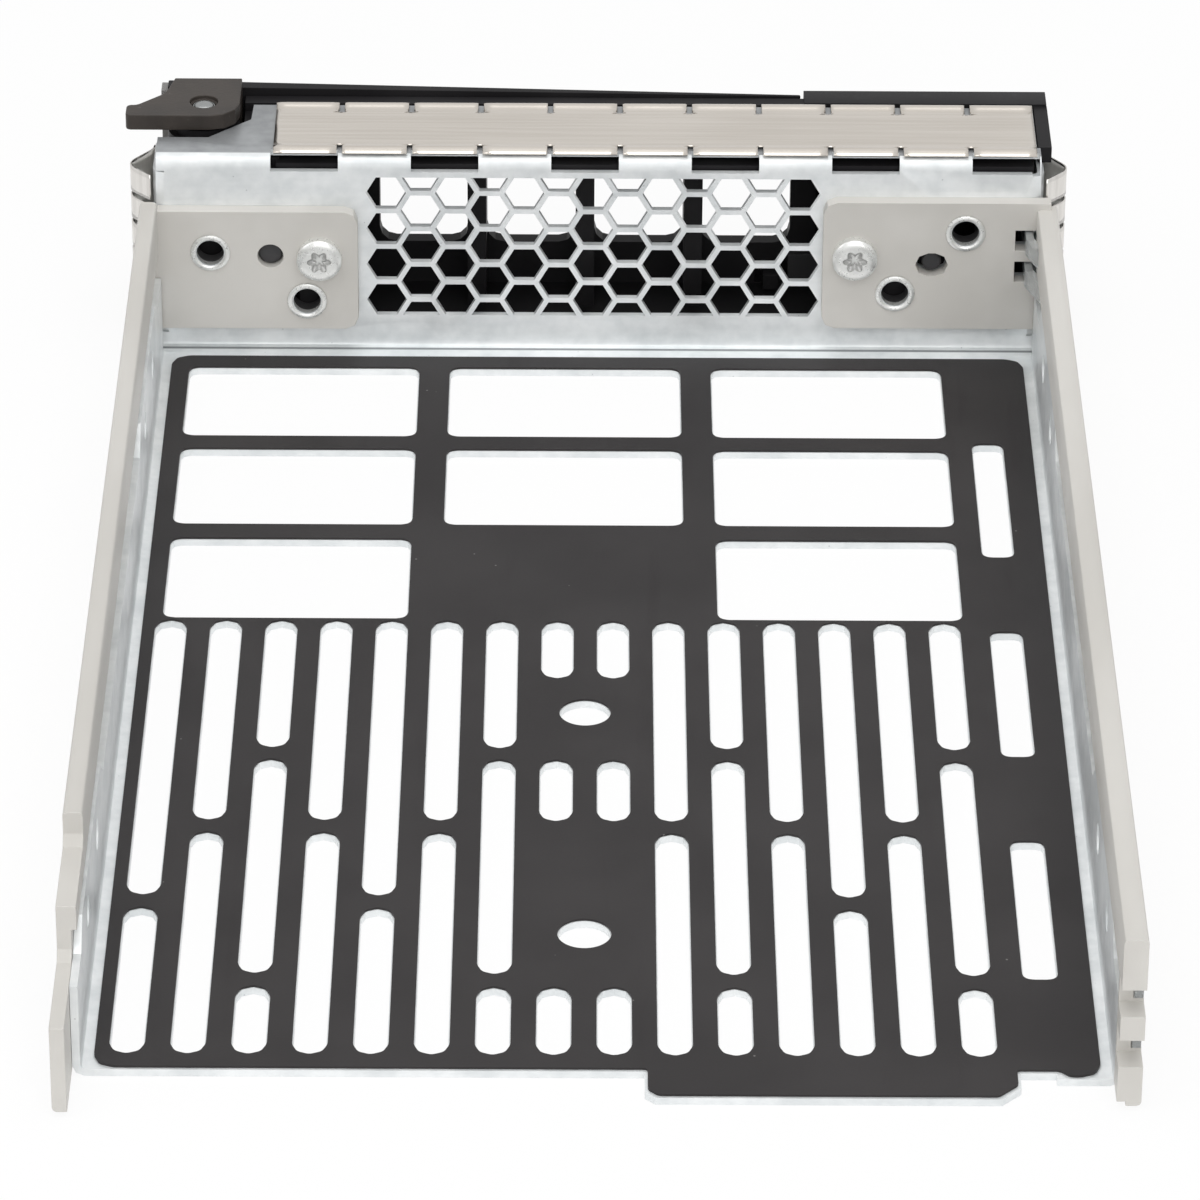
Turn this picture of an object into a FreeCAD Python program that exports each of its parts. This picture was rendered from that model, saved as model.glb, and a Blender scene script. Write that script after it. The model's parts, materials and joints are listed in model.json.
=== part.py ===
import FreeCAD, Part
import math
import os

# Hot swap caddy for a 3.5-inch drive: a folded steel tray between two plastic rails, with a
# moulded bezel, a swinging lever and a push button at its front end.
# Millimetres. +Z is up, +Y runs towards the bezel, +X is on the right seen from the open rear.
# The origin is on the underside of the tray floor, on the centre plane, in the plain band
# between the floor's windows and its slots.

V = FreeCAD.Vector

# ---- Drive and tray ---------------------------------------------------------------------
drive_width = 101.6             # width of the drive that the bay takes
side_play = 0.2                 # drive to each side wall
sheet = 0.8                     # steel sheet of the tray
bend_radius = 0.4               # inside radius of every fold
fold_lap = 6.0                  # strip folded with an edge, before the next sheet takes over
wall_y = 59.8                   # rear face of the front wall
floor_length = 152.9            # rear edge of the floor to the front wall
flange_depth = 13.7             # front wall to the front edge of the top flange
flange_top = 25.4               # upper face of the top flange
wall_low = 10.5                 # side wall height between its ears
wall_high = 13.2                # side wall height at the drive screws
ear_reach = 7.0                 # ear past its outermost screw hole
ear_slope = 3.0                 # length of the slope beside an ear
tab_left = 55.7                 # left wall to the tab at the rear of the floor
tab_right = 9.2                 # right wall to the tab
tab_reach = 4.6                 # tab past the rear edge
tab_chamfer = 2.0
notch_width = 3.9               # notch between the tab and the right corner
notch_depth = 1.0
fold_start = 2.6                # lower end of the side flanges above the shelf
fold_gap = 0.2                  # gap between a side flange and the top fold
past = 1.0                      # cutters run past what they cut by this much

bay_half = drive_width / 2 + side_play
wall_outer = bay_half + sheet
wall_mid = bay_half + sheet / 2
floor_rear = wall_y - floor_length
flange_front = wall_y + flange_depth
flange_under = flange_top - sheet
front_mid = wall_y + sheet / 2

# ---- Drive screws -----------------------------------------------------------------------
hole_spacing = 101.6            # front to rear side holes of a drive
hole_rows = (wall_y - 20.8, wall_y - 35.4)      # front holes of the two drive positions
hole_z = 9.1
hole_radius = 1.6

# ---- Floor pattern ----------------------------------------------------------------------
window_sides = (3.4 - bay_half, bay_half - 11.0)        # outer edges of the window columns
window_count = 3
window_post = 3.75
window_rows = ((37.1, 53.75), (16.45, 33.95), (-4.55, 13.1))
window_corner = 1.0
slot_count = 15
slot_sides = (4.35 - bay_half, bay_half - 13.02)        # centres of the outermost slots
slot_width = 3.3
slot_start = -5.05              # front end of every slot column
slot_module = 14.64
slot_gap = 2.4
slot_long = ((0, 4), (4, 2))                # first module and modules of each slot
slot_even = ((0, 3), (3, 3))
slot_short = ((0, 2), (2, 3), (5, 1))
slot_single = ((0, 1), (2, 1), (5, 1))
slot_kinds = (slot_long, slot_even, slot_short, slot_even)
single_columns = (7, 8)
floor_hole_radius = 2.65
floor_hole_rows = (-24.5, -68.3)
side_slot_inset = 6.3           # right wall to the centre of the slots beside it
side_slot_width = 3.4
side_slot_length = 26.2
side_slot_rows = (22.7, -20.1, -63.3)
side_slot_corner = 0.8

slot_pitch = (slot_sides[1] - slot_sides[0]) / (slot_count - 1)
floor_hole_x = slot_sides[0] + sum(single_columns) / 2 * slot_pitch

# ---- Insulating film --------------------------------------------------------------------
film = 0.25
film_side = 1.2                 # bare metal beside the film
film_front = 3.3                # front wall to the film
film_rear = 0.3                 # film to the rear edge of the floor
film_relief = 0.12              # film set back from the edges of the metal openings
film_corner = 2.0

# ---- Honeycomb --------------------------------------------------------------------------
cell_rows = 4
cell_pitch = 4.64
cell_web = 0.6
honeycomb_z = 13.8
honeycomb_shift = 0.3           # middle of the pattern, right of the middle between the pads

# ---- Spring finger gaskets --------------------------------------------------------------
gasket = 0.2                    # strip thickness
gasket_lift = 0.6               # top gasket above the flange
gasket_rise = (0.7, 1.6)        # front wall to both ends of the top gasket's rising edge
gasket_curl = 0.6               # middle radius where a strip turns up or down
gasket_crest = 1.8              # inner radius at the crest of an arch
top_gasket_margin = (8.4, 0.1)  # hinge pin to its left end, its right end to the side wall
gasket_fold = 0.15              # inside radius of a clip fold
finger_pitch = 8.15
finger_slot = 0.65
finger_slot_length = (2.0, 2.9)   # at the rear edge and at the front edge
first_finger = 7.7              # left end of the top gasket to its first slit
cutout_margin = 0.15            # slit to the cut-out in the fold below it
cutout_bottom = 23.5            # lower edge of the cut-outs in the top fold
clip_lap = 1.2                  # top gasket under the flange
side_gasket_z = (8.8, 22.8)
side_gasket_fingers = 4
side_gasket_bulge = 3.9         # corner of the arch outside the side flange
side_gasket_crest = 0.42        # share of the arch behind its corner
side_gasket_arch = 7.1          # length of the arch
side_clip_lap = 2.4             # side gasket inside the flange
strip_gap = 0.05                # clearance between a clipped strip and its flange

# ---- Rails ------------------------------------------------------------------------------
rail_gap = 0.05                 # rail to the outside of the metal wall
rail_top = 19.8
rail_bottom = 0.5
rail_front_gap = 0.6            # front end of a rail behind the front wall
left_rail_thickness = 1.5      # skirt outside the wall
right_rail_thickness = 1.55
left_bead_inset = 0.55          # bead over the wall, inwards from the skirt's inner face
right_bead_inset = 0.9
bead_gap = 0.3                  # bead above the highest ear
left_steps = ((17.4, 16.3), (5.5, 10.3))        # rear edge to each step, and its height
left_rail_reach = 7.2           # rail past the rear edge of the floor
right_rail_reach = 5.2
step_chamfer = 1.0
access_reach = 1.2              # slot over the two drive screws side by side, past the screw holes
end_gap = 0.4                   # rear end of the right wall to the rail's end block
end_bottom = 1.0                # lower face of the end block
pipe_pocket = 3.1               # height of the pocket behind the end of a pipe

left_skirt = wall_outer + rail_gap
rail_front = wall_y - rail_front_gap
left_rail_rear = floor_rear - left_rail_reach
right_rail_rear = floor_rear - right_rail_reach

# ---- Pads at the front wall -------------------------------------------------------------
pad = 1.7
pad_gap = 0.3                   # side wall to pad
left_pad = (23.0 - bay_half, 3.8, 19.1)         # inner edge, bottom, top
right_pad = (bay_half - 24.8, 4.2, 20.6)
pad_corner = 1.5
left_collars = ((5.8 - bay_half, 13.75), (17.0 - bay_half, 7.5))
right_collars = ((bay_half - 8.25, 16.75), (bay_half - 16.3, 8.85))
left_peg_hole = (12.8 - bay_half, 13.3)
right_peg_slot = (bay_half - 12.1, 12.6)
peg_radius = 1.5
peg_slot_length = 3.8
peg_slot_width = 3.0
left_screw = (18.5 - bay_half, 13.2)
right_screw = (bay_half - 21.1, 13.6)
collar_radius = 1.62            # bore of an extruded collar
collar_wall = 0.45
collar_proud = 0.1
collar_gap = 0.05               # collar to its hole in the pad
pad_screw_radius = 1.45
pad_screw_head = 2.6
pad_screw_head_height = 1.4
pad_screw_dome = (1.0, 0.7)     # width and height of the slope round the top of the head
star_reach = (0.85, 1.25)       # inner and outer corners of the star recess
star_depth = 0.8
star_count = 12                 # corners of the star, outer and inner
screw_clearance = 0.1

pad_rear = wall_y - pad
honeycomb_x = (left_pad[0] + right_pad[0]) / 2 + honeycomb_shift

# ---- Light pipes ------------------------------------------------------------------------
pipe_width = 0.9
pipe_height = 2.2
pipe_gap = 0.1
pipe_skin = 0.05                # outer face of a pipe below the rail's outer face
pipe_front_x = bay_half - 0.85
pipe_recess = 2.8               # rear end of a pipe inside the end of the rail
pipe_levels = ((6.6, 11.75), (12.45, 15.8))     # height at the rear and at the front
pipe_rise = (wall_y - 17.8, wall_y - 9.8)       # stretch over which a pipe climbs
pipe_jog = (wall_y - 10.8, wall_y - 3.2)        # stretch over which a pipe moves inwards
pipe_bend = 1.2
pipe_window = 0.45              # room above and below a pipe in the pad and the front wall
pipe_window_x = (bay_half - 2.45, bay_half + 0.3)
pipe_window_reach = 3.0         # middle of the front wall to the end of the cut in its side fold

# ---- Bezel ------------------------------------------------------------------------------
bezel_gap = 0.3                 # bezel to the tray
bezel_wall = 1.6
grille_thickness = 1.9
window_margin = (20.3, 1.4)     # hinge pin to the first window, last window to the button
grille_count = 4
grille_post = 2.2
grille_window_z = (7.3, 20.5)
grille_corner = 2.0
rib_depth = 6.0                 # posts between windows, behind the grille
tower = (5.0, 5.0)              # width and depth of a screw tower
button_block = (bay_half - 26.8, bay_half + 1.7)        # block beside the lever
block_proud = 2.3               # block in front of the grille
block_z = (0.6, flange_top + 0.3)
edge_round = 0.9
cheek = 0.6                     # thin cheek outside the right side flange
cheek_gap = 0.15
cheek_reach = 7.4               # front wall to the rear end of the cheek
lip_reach = 3.4                 # front wall to the rear end of the lip beside the top flange
lip_gap = 0.15                  # lip to the flange on its left and to the one below it
shelf_bottom_z = (0.3, 1.9)
shelf_top_z = (22.4, 24.0)
shelf_margin = (8.7, 0.4)       # hinge pin to the left end, right end to the side wall
seat_size = (7.0, 2.2)          # width and depth of the seat of the button's spring
weld = 0.2                      # posts run into what carries them by this much

box_rear = wall_y + sheet + bezel_gap
grille_rear = flange_front + gasket + bezel_gap
grille_front = grille_rear + grille_thickness
block_front = grille_front + block_proud
cavity_x = (button_block[0] + bezel_wall, button_block[1] - bezel_wall)
cavity_z = (block_z[0] + bezel_wall, block_z[1] - bezel_wall)
cavity_front = block_front - bezel_wall

# ---- Lever ------------------------------------------------------------------------------
pivot = (4.8 - bay_half, wall_y + 10.1)
pin_radius = 1.35
same_height = 0.01              # edges nearer in height than this lie at one level
one_point = 1e-6                # points nearer to each other than this are one point
pin_play = 0.05
pin_chamfer = 0.25
pin_short = (0.3, 0.15)         # pin below and above, inside the faces of the cam
swing_gap = 0.3                 # lever to everything that it passes
cam_gap = 0.25                  # upper cam plate above the top flange
cam_thickness = 1.9
cam_side = 4.6                  # pivot to the flat left side of the cam
cam_right = 4.2
cam_slant = 0.9                 # front end of the left side, in from its rear end
cam_rear = 3.8
hook_reach = 9.0                # pivot to the tip of the hook
hook_width = 2.9
hook_round = 0.6
cam_round = 3.4                 # rounding of the right rear corner
hook_throat = 3.2               # rounding between the hook and the side of the cam
throat_round = hook_throat / 3  # inner corner of the hook's throat
counterbore_radius = 1.65
counterbore_depth = 0.5
handle_depth = (2.8, 1.4)       # depth of the lever at the hinge and at its free end
handle_top = (flange_top + 1.0, flange_top + 0.15)
handle_bottom = 0.6
handle_end_gap = 0.4            # free end of the lever to the button's block
handle_edge = 0.6               # rounding of the long edges
fascia = 0.8
fascia_margin = 0.5             # fascia set back round each window
handle_window_z = (5.0, 20.5)
handle_screw_z = (8.0, 19.0)
handle_screw_radius = 1.1
handle_screw_head = 2.0
handle_screw_head_height = 1.1
handle_screw_sink = 0.2         # screw heads below the face of the handle
knuckle_radius = 4.3            # fixed knuckle between the lever's cam plates
knuckle_z = (2.3, 24.3)
knuckle_neck = 3.5
knuckle_web = 3.4               # pivot to the left end and to the front face of the web behind it
knuckle_lug = (4.0, 1.0)        # pivot back to the two faces of the lug beside the barrel
knuckle_back = 1.0              # back of the knuckle's web in front of the bezel's rear face
hinge_gap = 0.4                 # lever's cam to the bezel beside it
hinge_web = 4.4
spring_room = (9.6, 17.6)       # gap in the knuckle for the torsion spring
coil_wire = 0.8
coil_radius = 2.7
coil_turns = 5
coil_fill = 0.7                 # share of its room that the torsion spring takes
tongue_inset = 2.8              # free side of the latch tongue to the button's block
tongue_width = 1.8
tongue_reach = 5.2
tongue_z = (2.5, 4.5)
tongue_room = (0.5, 0.4)        # room below and above the tongue in the grille
barb = 0.9
barb_slope = (1.0, 0.6)         # lengths of the barb's slope and of its flat
lever_cut = (5.0, 9.8)          # front wall to the cut-out in the flange, at the cam and inboard
lever_cut_margin = 3.0          # inboard edge of the cut-out to the shelf of the bezel
lever_cut_slope = (5.0, 0.2)    # inboard edge of the cut-out to both ends of its slope
left_flange_stop = 7.7          # front wall to the front end of the left side flange

cam_under = flange_top + cam_gap
cam_top = cam_under + cam_thickness
lever_floor = swing_gap                         # lowest face of the lever above the shelf
lower_cam_top = lever_floor + cam_thickness
lever_rear = grille_front + swing_gap
handle_front = (lever_rear + handle_depth[0], lever_rear + handle_depth[1])
handle_left = pivot[0] - cam_side
handle_end_x = button_block[0] - handle_end_gap
web_rear = pivot[1] + knuckle_radius + swing_gap
head_seat = handle_front[0] - fascia - handle_screw_head_height - handle_screw_sink
hinge_side = pivot[0] + cam_right + hinge_gap
tongue_right = button_block[0] - tongue_inset
tongue_left = tongue_right - tongue_width
left_flange_front = wall_y + left_flange_stop
grille_sides = (pivot[0] + window_margin[0], button_block[0] - window_margin[1])
top_gasket_x = (pivot[0] + top_gasket_margin[0], bay_half - top_gasket_margin[1])

# ---- Release button ---------------------------------------------------------------------
button_x = (bay_half - 23.5, bay_half - 4.5)
button_z = (4.4, 21.2)
button_proud = 0.7              # button in front of its block
button_length = 9.6
button_wall = 1.5
button_gap = 0.3
button_corner = 1.5
button_lip = 0.8
button_lip_depth = 1.2
dish_radius = 25.0
dish_depth = 0.6
dish_margin = 1.5
latch_arm = 1.0
latch_arm_height = 3.9
latch_gap = 0.3
return_wire = 0.5
return_radius = 2.2
return_turns = 6
spring_slack = (0.05, 0.3)      # spring to the seat and to the button

button_front = block_front + button_proud
arm_x = tongue_right + barb + latch_gap         # free end of the latch arm

# ---- Rounding of what repeats -----------------------------------------------------------
slot_flats = 2                  # flats that round a quarter turn of a floor opening
film_flats = 2
fold_flats = 2                  # flats in each fold of a sheet
edge_flats = 2                  # flats in a rounded moulded edge
hidden_flats = 12               # sides of a shank, and of a clearance hole that a head covers
collar_flats = 18
coil_steps = 8                  # rings in each turn of a spring
coil_flats = 4                  # sides of a spring's wire


# ---- Drawing helpers --------------------------------------------------------------------
def plan(u, v, w):
    """Outline seen from above: u is X, v is Y, w is Z."""
    return V(u, v, w)


def side(u, v, w):
    """Outline seen from the side: u is Y, v is Z, w is X."""
    return V(w, u, v)


def front(u, v, w):
    """Outline seen from the front: u is X, v is Z, w is Y."""
    return V(u, w, v)


def corner(before, point, after, radius):
    """Start, end and centre of the arc that rounds one corner of an outline."""
    in_way = (point - before).normalize()
    out_way = (after - point).normalize()
    turn = in_way.getAngle(out_way)
    reach = radius * math.tan(turn / 2)
    centre = point + (out_way - in_way).normalize() * (radius / math.cos(turn / 2))
    return point - in_way * reach, point + out_way * reach, centre


def stations_around(start, end, centre, radius, flats):
    """Stations of an arc between two directions from a centre, or of the flats in its place."""
    first, last = start - centre, end - centre
    turn = math.atan2(first.x * last.y - first.y * last.x, first.dot(last))
    base = math.atan2(first.y, first.x)
    steps = flats or 2
    angles = [base + turn * k / steps for k in range(steps + 1)]
    points = [centre + V(math.cos(a), math.sin(a), 0) * radius for a in angles]
    return [(p,) for p in points] if flats else [tuple(points)]


def edges_through(stations, view, w, closed):
    """Lines and arcs through stations of one point or of three points each."""
    edges = []
    last = len(stations) - 1
    for i, station in enumerate(stations):
        if len(station) == 3:
            edges.append(Part.Arc(*[view(p.x, p.y, w) for p in station]).toShape())
        if i < last or closed:
            start = station[-1]
            end = stations[(i + 1) % len(stations)][0]
            if start.distanceToPoint(end) > one_point:
                edges.append(Part.makeLine(view(start.x, start.y, w), view(end.x, end.y, w)))
    return edges


def outline_face(points, view, w, flats=0):
    """Face inside an outline; a third number in a point rounds its corner."""
    flat = [V(p[0], p[1], 0) for p in points]
    stations = []
    for i, p in enumerate(points):
        if len(p) > 2:
            start, end, centre = corner(flat[i - 1], flat[i], flat[(i + 1) % len(flat)], p[2])
            stations += stations_around(start, end, centre, p[2], flats)
        else:
            stations.append((flat[i],))
    return Part.Face(Part.Wire(edges_through(stations, view, w, True)))


def prism(points, view, w, flats=0):
    """Solid between two levels of a view; corners are rounded by arcs or by a few flats."""
    return outline_face(points, view, w[0], flats).extrude(view(0, 0, w[1]) - view(0, 0, w[0]))


def bent_strip(points, thickness, inner_radius, view, w, flats=0):
    """Sheet of one thickness folded along a centreline, between two levels of a view."""
    flat = [V(p[0], p[1], 0) for p in points]
    radii = inner_radius if isinstance(inner_radius, tuple) else (inner_radius,) * (len(flat) - 2)
    half = thickness / 2
    sides = []
    for hand in (1, -1):
        stations = []
        for i, p in enumerate(flat):
            way = (flat[i + 1] - p if i == 0 else p - flat[i - 1]).normalize()
            offset = V(-way.y, way.x, 0) * (half * hand)
            if 0 < i < len(flat) - 1:
                middle_radius = radii[i - 1] + half
                start, end, centre = corner(flat[i - 1], p, flat[i + 1], middle_radius)
                outside = (start + offset).distanceToPoint(centre) > middle_radius
                radius = middle_radius + half if outside else middle_radius - half
                stations += stations_around(start, end, centre, radius, flats)
            else:
                stations.append((p + offset,))
        sides.append(stations)
    back = [tuple(reversed(station)) for station in reversed(sides[1])]
    face = Part.Face(Part.Wire(edges_through(sides[0] + back, view, w[0], True)))
    return face.extrude(view(0, 0, w[1]) - view(0, 0, w[0]))


def block(x, y, z):
    """Square-edged block between pairs of limits."""
    return Part.makeBox(x[1] - x[0], y[1] - y[0], z[1] - z[0], V(x[0], y[0], z[0]))


def rod(radius, start, end):
    """Round bar between two points."""
    way = V(*end) - V(*start)
    return Part.makeCylinder(radius, way.Length, V(*start), way)


def flat_rod(radius, place, y, sides):
    """Bar along Y with a few flats, nowhere wider than its radius."""
    angles = [2 * math.pi * k / sides for k in range(sides)]
    points = [(place[0] + radius * math.cos(a), place[1] + radius * math.sin(a)) for a in angles]
    return prism(points, front, y)


def clearance_hole(radius, place, y):
    """Cutter along Y with a few flats, nowhere tighter than its radius."""
    return flat_rod(radius / math.cos(math.pi / hidden_flats), place, y, hidden_flats)


def rectangle(u, v, radius=None):
    """Four corners between pairs of limits, rounded where a radius is given."""
    corners = ((u[0], v[0]), (u[1], v[0]), (u[1], v[1]), (u[0], v[1]))
    return [c + (radius,) for c in corners] if radius else list(corners)


def around(centre, width):
    """Pair of limits on both sides of a centre."""
    return centre - width / 2, centre + width / 2


def grown(limits, by):
    """Pair of limits moved apart."""
    return limits[0] - by, limits[1] + by


def joined(shapes):
    """One solid out of pieces that overlap or share a face."""
    return shapes[0].multiFuse(shapes[1:]).removeSplitter()


def mirrored(points):
    """Outline with the opposite hand: u changes sign."""
    return [(-p[0],) + tuple(p[1:]) for p in points]


def divided(limits, count, post):
    """Equal windows between two limits, with a post of one width between neighbours."""
    width = (limits[1] - limits[0] - (count - 1) * post) / count
    starts = [limits[0] + i * (width + post) for i in range(count)]
    return [(start, start + width) for start in starts]


# ---- Tray -------------------------------------------------------------------------------
def screw_rows():
    """Places along the tray of all drive screw holes."""
    return [y - back for y in hole_rows for back in (0, hole_spacing)]


def ear_outline(rear):
    """Outline of a side wall from its rear end, raised where the drive screws pass through."""
    front_end = pad_rear - pad_gap
    points = [(rear, 0), (rear, wall_low)]
    for back in (hole_spacing, 0):
        rear_edge = min(hole_rows) - back - ear_reach
        front_edge = max(hole_rows) - back + ear_reach
        points += [(rear_edge - ear_slope, wall_low), (rear_edge, wall_high),
                   (front_edge, wall_high), (front_edge + ear_slope, wall_low)]
    return points + [(front_end, wall_low), (front_end, 0)]


def floor_outline(inset, front_y, half_width, radius=None):
    """Outline of the floor with its rear tab; an inset draws it smaller at the rear."""
    rear = floor_rear + inset
    tab_rear = rear - tab_reach
    left, right = tab_left - bay_half + inset, bay_half - tab_right - inset
    notch = right + notch_width + inset
    round_off = (radius,) if radius else ()
    return [(-half_width, front_y) + round_off, (-half_width, rear) + round_off,
            (left, rear), (left, tab_rear + tab_chamfer / 2),
            (left + tab_chamfer / 2, tab_rear), (right - tab_chamfer, tab_rear),
            (right, tab_rear + tab_chamfer), (right, rear), (notch, rear),
            (notch + notch_depth, rear - notch_depth),
            (half_width, rear - notch_depth) + round_off, (half_width, front_y) + round_off]


def floor_openings(z, grow, flats):
    """Cutters for the windows, slots and holes that the floor and its film share."""
    cutters = []
    for row_number, row in enumerate(window_rows):
        for column_number, column in enumerate(divided(window_sides, window_count, window_post)):
            if row_number == len(window_rows) - 1 and column_number == 1:
                continue
            window = rectangle(grown(column, grow), grown(row, grow), window_corner + grow)
            cutters.append(prism(window, plan, z, flats))
    half = slot_width / 2 + grow
    for i in range(slot_count):
        kind = slot_single if i in single_columns else slot_kinds[i % len(slot_kinds)]
        x = slot_sides[0] + i * slot_pitch
        for first, modules in kind:
            top = slot_start - first * slot_module + grow
            bottom = slot_start - (first + modules) * slot_module + slot_gap - grow
            slot = rectangle((x - half, x + half), (bottom, top), half)
            cutters.append(prism(slot, plan, z, flats))
    for y in floor_hole_rows:
        radius = floor_hole_radius + grow
        cutters.append(rod(radius, (floor_hole_x, y, z[0]), (floor_hole_x, y, z[1])))
    for y in side_slot_rows:
        u = grown(around(bay_half - side_slot_inset, side_slot_width), grow)
        v = grown(around(y, side_slot_length), grow)
        cutters.append(prism(rectangle(u, v, side_slot_corner + grow), plan, z, flats))
    return cutters


def honeycomb_cells(y):
    """Cutters for the hexagonal cells; odd columns end in half cells."""
    slant = math.radians(30)
    flat = (cell_pitch - cell_web) / 2
    edge = flat / math.cos(slant)
    column_pitch = cell_pitch * math.cos(slant)
    half_height = (cell_rows - 1) / 2 * cell_pitch + flat
    room = right_pad[0] - left_pad[0] - 2 * edge
    columns = int(room / column_pitch / 2) * 2 + 1
    cells = []
    for i in range(columns):
        x = honeycomb_x + (i - (columns - 1) / 2) * column_pitch
        rows = cell_rows - i % 2
        for j in range(rows):
            z = honeycomb_z + (j - (rows - 1) / 2) * cell_pitch
            points = [(x + edge * math.cos(2 * slant * k), z + edge * math.sin(2 * slant * k))
                      for k in range(6)]
            cells.append(prism(points, front, y))
        if i % 2:
            near = cell_rows / 2 * cell_pitch - flat
            spread = edge / 2 + (half_height - near) * math.tan(slant)
            for hand in (1, -1):
                a, b = honeycomb_z + hand * near, honeycomb_z + hand * half_height
                points = [(x - edge / 2, a), (x + edge / 2, a), (x + spread, b), (x - spread, b)]
                cells.append(prism(points, front, y))
    return cells


def side_flange(hand, front_end):
    """Side of the front box, folded forwards from one end of the front wall."""
    points = [(hand * (wall_mid - fold_lap), front_mid), (hand * wall_mid, front_mid),
              (hand * wall_mid, front_end)]
    return bent_strip(points, sheet, bend_radius, plan, (fold_start, cutout_bottom - fold_gap),
                      fold_flats)


def folded_sheets():
    """Floor, side walls and front box of the tray before its holes are punched."""
    mid = sheet / 2
    sheets = []
    for hand in (-1, 1):
        line = [(hand * wall_mid, rail_top), (hand * wall_mid, mid),
                (hand * (wall_mid - fold_lap), mid)]
        ends = (floor_rear - tab_reach, pad_rear - pad_gap)
        wall = bent_strip(line, sheet, bend_radius, front, ends, fold_flats)
        rear = floor_rear - notch_depth if hand > 0 else floor_rear
        sheets.append(wall.common(prism(ear_outline(rear), side, (-wall_outer, wall_outer))))
    middle = floor_outline(0, wall_y - fold_lap / 2, bay_half - fold_lap / 3)
    sheets.append(prism(middle, plan, (0, sheet)))
    line = [(wall_y - fold_lap, mid), (front_mid, mid), (front_mid, flange_top - mid),
            (flange_front, flange_top - mid)]
    box = bent_strip(line, sheet, bend_radius, side, (-wall_mid, wall_mid), fold_flats)
    corners = [block(around(hand * wall_mid, 2 * past), (wall_y - past, wall_y + 2 * past),
                     (fold_start - fold_gap, cutout_bottom)) for hand in (-1, 1)]
    sheets.append(box.cut(corners))
    sheets += [side_flange(-1, left_flange_front), side_flange(1, flange_front)]
    return joined(sheets)


def finger_cutouts():
    """Cutters in the top fold below every other finger of the top gasket."""
    first = top_gasket_x[0] + first_finger - finger_pitch + cutout_margin
    width = finger_pitch - 2 * cutout_margin
    count = int((top_gasket_x[1] - first) / (2 * finger_pitch)) + 1
    lefts = [first + 2 * finger_pitch * i for i in range(count)]
    return [block((left, min(left + width, wall_mid)), (wall_y - past, wall_y + 2 * past),
                  (cutout_bottom, flange_top + past)) for left in lefts]


def tray_pan():
    """Folded tray: floor, low side walls, perforated front wall and a box of flanges."""
    places = left_collars + right_collars
    collars = [flat_rod(collar_radius + collar_wall, place, (pad_rear - collar_proud, front_mid),
                        collar_flats) for place in places]
    tray = joined([folded_sheets()] + collars)

    wall = (wall_y - past, wall_y + sheet + past)
    cutters = floor_openings((-past, sheet + past), 0, slot_flats)
    cutters += honeycomb_cells(wall)
    cutters += [rod(collar_radius, (x, pad_rear - past, z), (x, wall[1], z)) for x, z in places]
    cutters += [clearance_hole(pad_screw_radius + screw_clearance, place, wall)
                for place in (left_screw, right_screw)]
    cutters += [peg_hole(wall), peg_slot(wall)]
    cutters += pipe_windows((wall_y - past, front_mid + pipe_window_reach))
    cutters += [rod(hole_radius, (-wall_outer - past, y, hole_z), (wall_outer + past, y, hole_z))
                for y in screw_rows()]
    cutters += finger_cutouts()
    cam_edge, inboard_edge = [wall_y + reach for reach in lever_cut]
    left = -wall_outer - past
    inboard = shelf_left_end() - lever_cut_margin
    slope_start, slope_end = inboard - lever_cut_slope[0], inboard - lever_cut_slope[1]
    lever_way = [(left, cam_edge), (slope_start, cam_edge), (slope_end, inboard_edge),
                 (inboard, flange_front + past), (left, flange_front + past)]
    cutters.append(prism(lever_way, plan, (flange_under - past, flange_top + past)))
    cutters.append(block((bay_half, wall_outer + past),
                         (wall_y + lip_reach - lip_gap, flange_front + past),
                         (cutout_bottom, flange_top + past)))
    cutters.append(block((bay_half - past, wall_outer + past),
                         (pipe_jog[0] - pipe_window, wall_y - sheet),
                         (pipe_levels[0][1] - pipe_height, rail_top)))
    return tray.cut(cutters)


def floor_insulator():
    """Thin dark film on the floor, cut out over the same openings."""
    outline = floor_outline(film_rear, wall_y - film_front, bay_half - film_side, film_corner)
    sheet_of_film = prism(outline, plan, (sheet, sheet + film), edge_flats)
    return sheet_of_film.cut(floor_openings((0, sheet + film + past), film_relief, film_flats))


# ---- Light pipes and what the pads let through ------------------------------------------
def light_pipe(level, clear=0.0):
    """Clear bar along the right rail that climbs and steps inwards to the bezel."""
    rear_z, front_z = level
    rear_x = left_skirt + right_rail_thickness - pipe_skin - pipe_width / 2
    rear_y = right_rail_rear + pipe_recess - clear
    front_y = block_front + clear
    route = [(rear_x, rear_y), (rear_x, pipe_jog[0]), (pipe_front_x, pipe_jog[1]),
             (pipe_front_x, front_y)]
    climb = [(rear_y, rear_z), (pipe_rise[0], rear_z), (pipe_rise[1], front_z), (front_y, front_z)]
    band = bent_strip(route, pipe_width + 2 * clear, pipe_bend, plan, (0, flange_top), edge_flats)
    rise = bent_strip(climb, pipe_height + 2 * clear, pipe_bend, side,
                      (pipe_front_x - pipe_width - past, rear_x + pipe_width + past), edge_flats)
    return band.common(rise)


def peg_hole(y):
    """Cutter for the round peg hole in the left pad and the front wall."""
    x, z = left_peg_hole
    return rod(peg_radius, (x, y[0], z), (x, y[1], z))


def peg_slot(y):
    """Cutter for the peg slot in the right pad and the front wall."""
    u = around(right_peg_slot[0], peg_slot_length)
    v = around(right_peg_slot[1], peg_slot_width)
    return prism(rectangle(u, v, peg_slot_width / 2), front, y, slot_flats)


def pipe_windows(y):
    """Cutters for the light pipes where they pass through the pad and the front wall."""
    return [prism(rectangle(pipe_window_x, around(level[1], pipe_height + pipe_window)), front, y)
            for level in pipe_levels]


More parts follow.
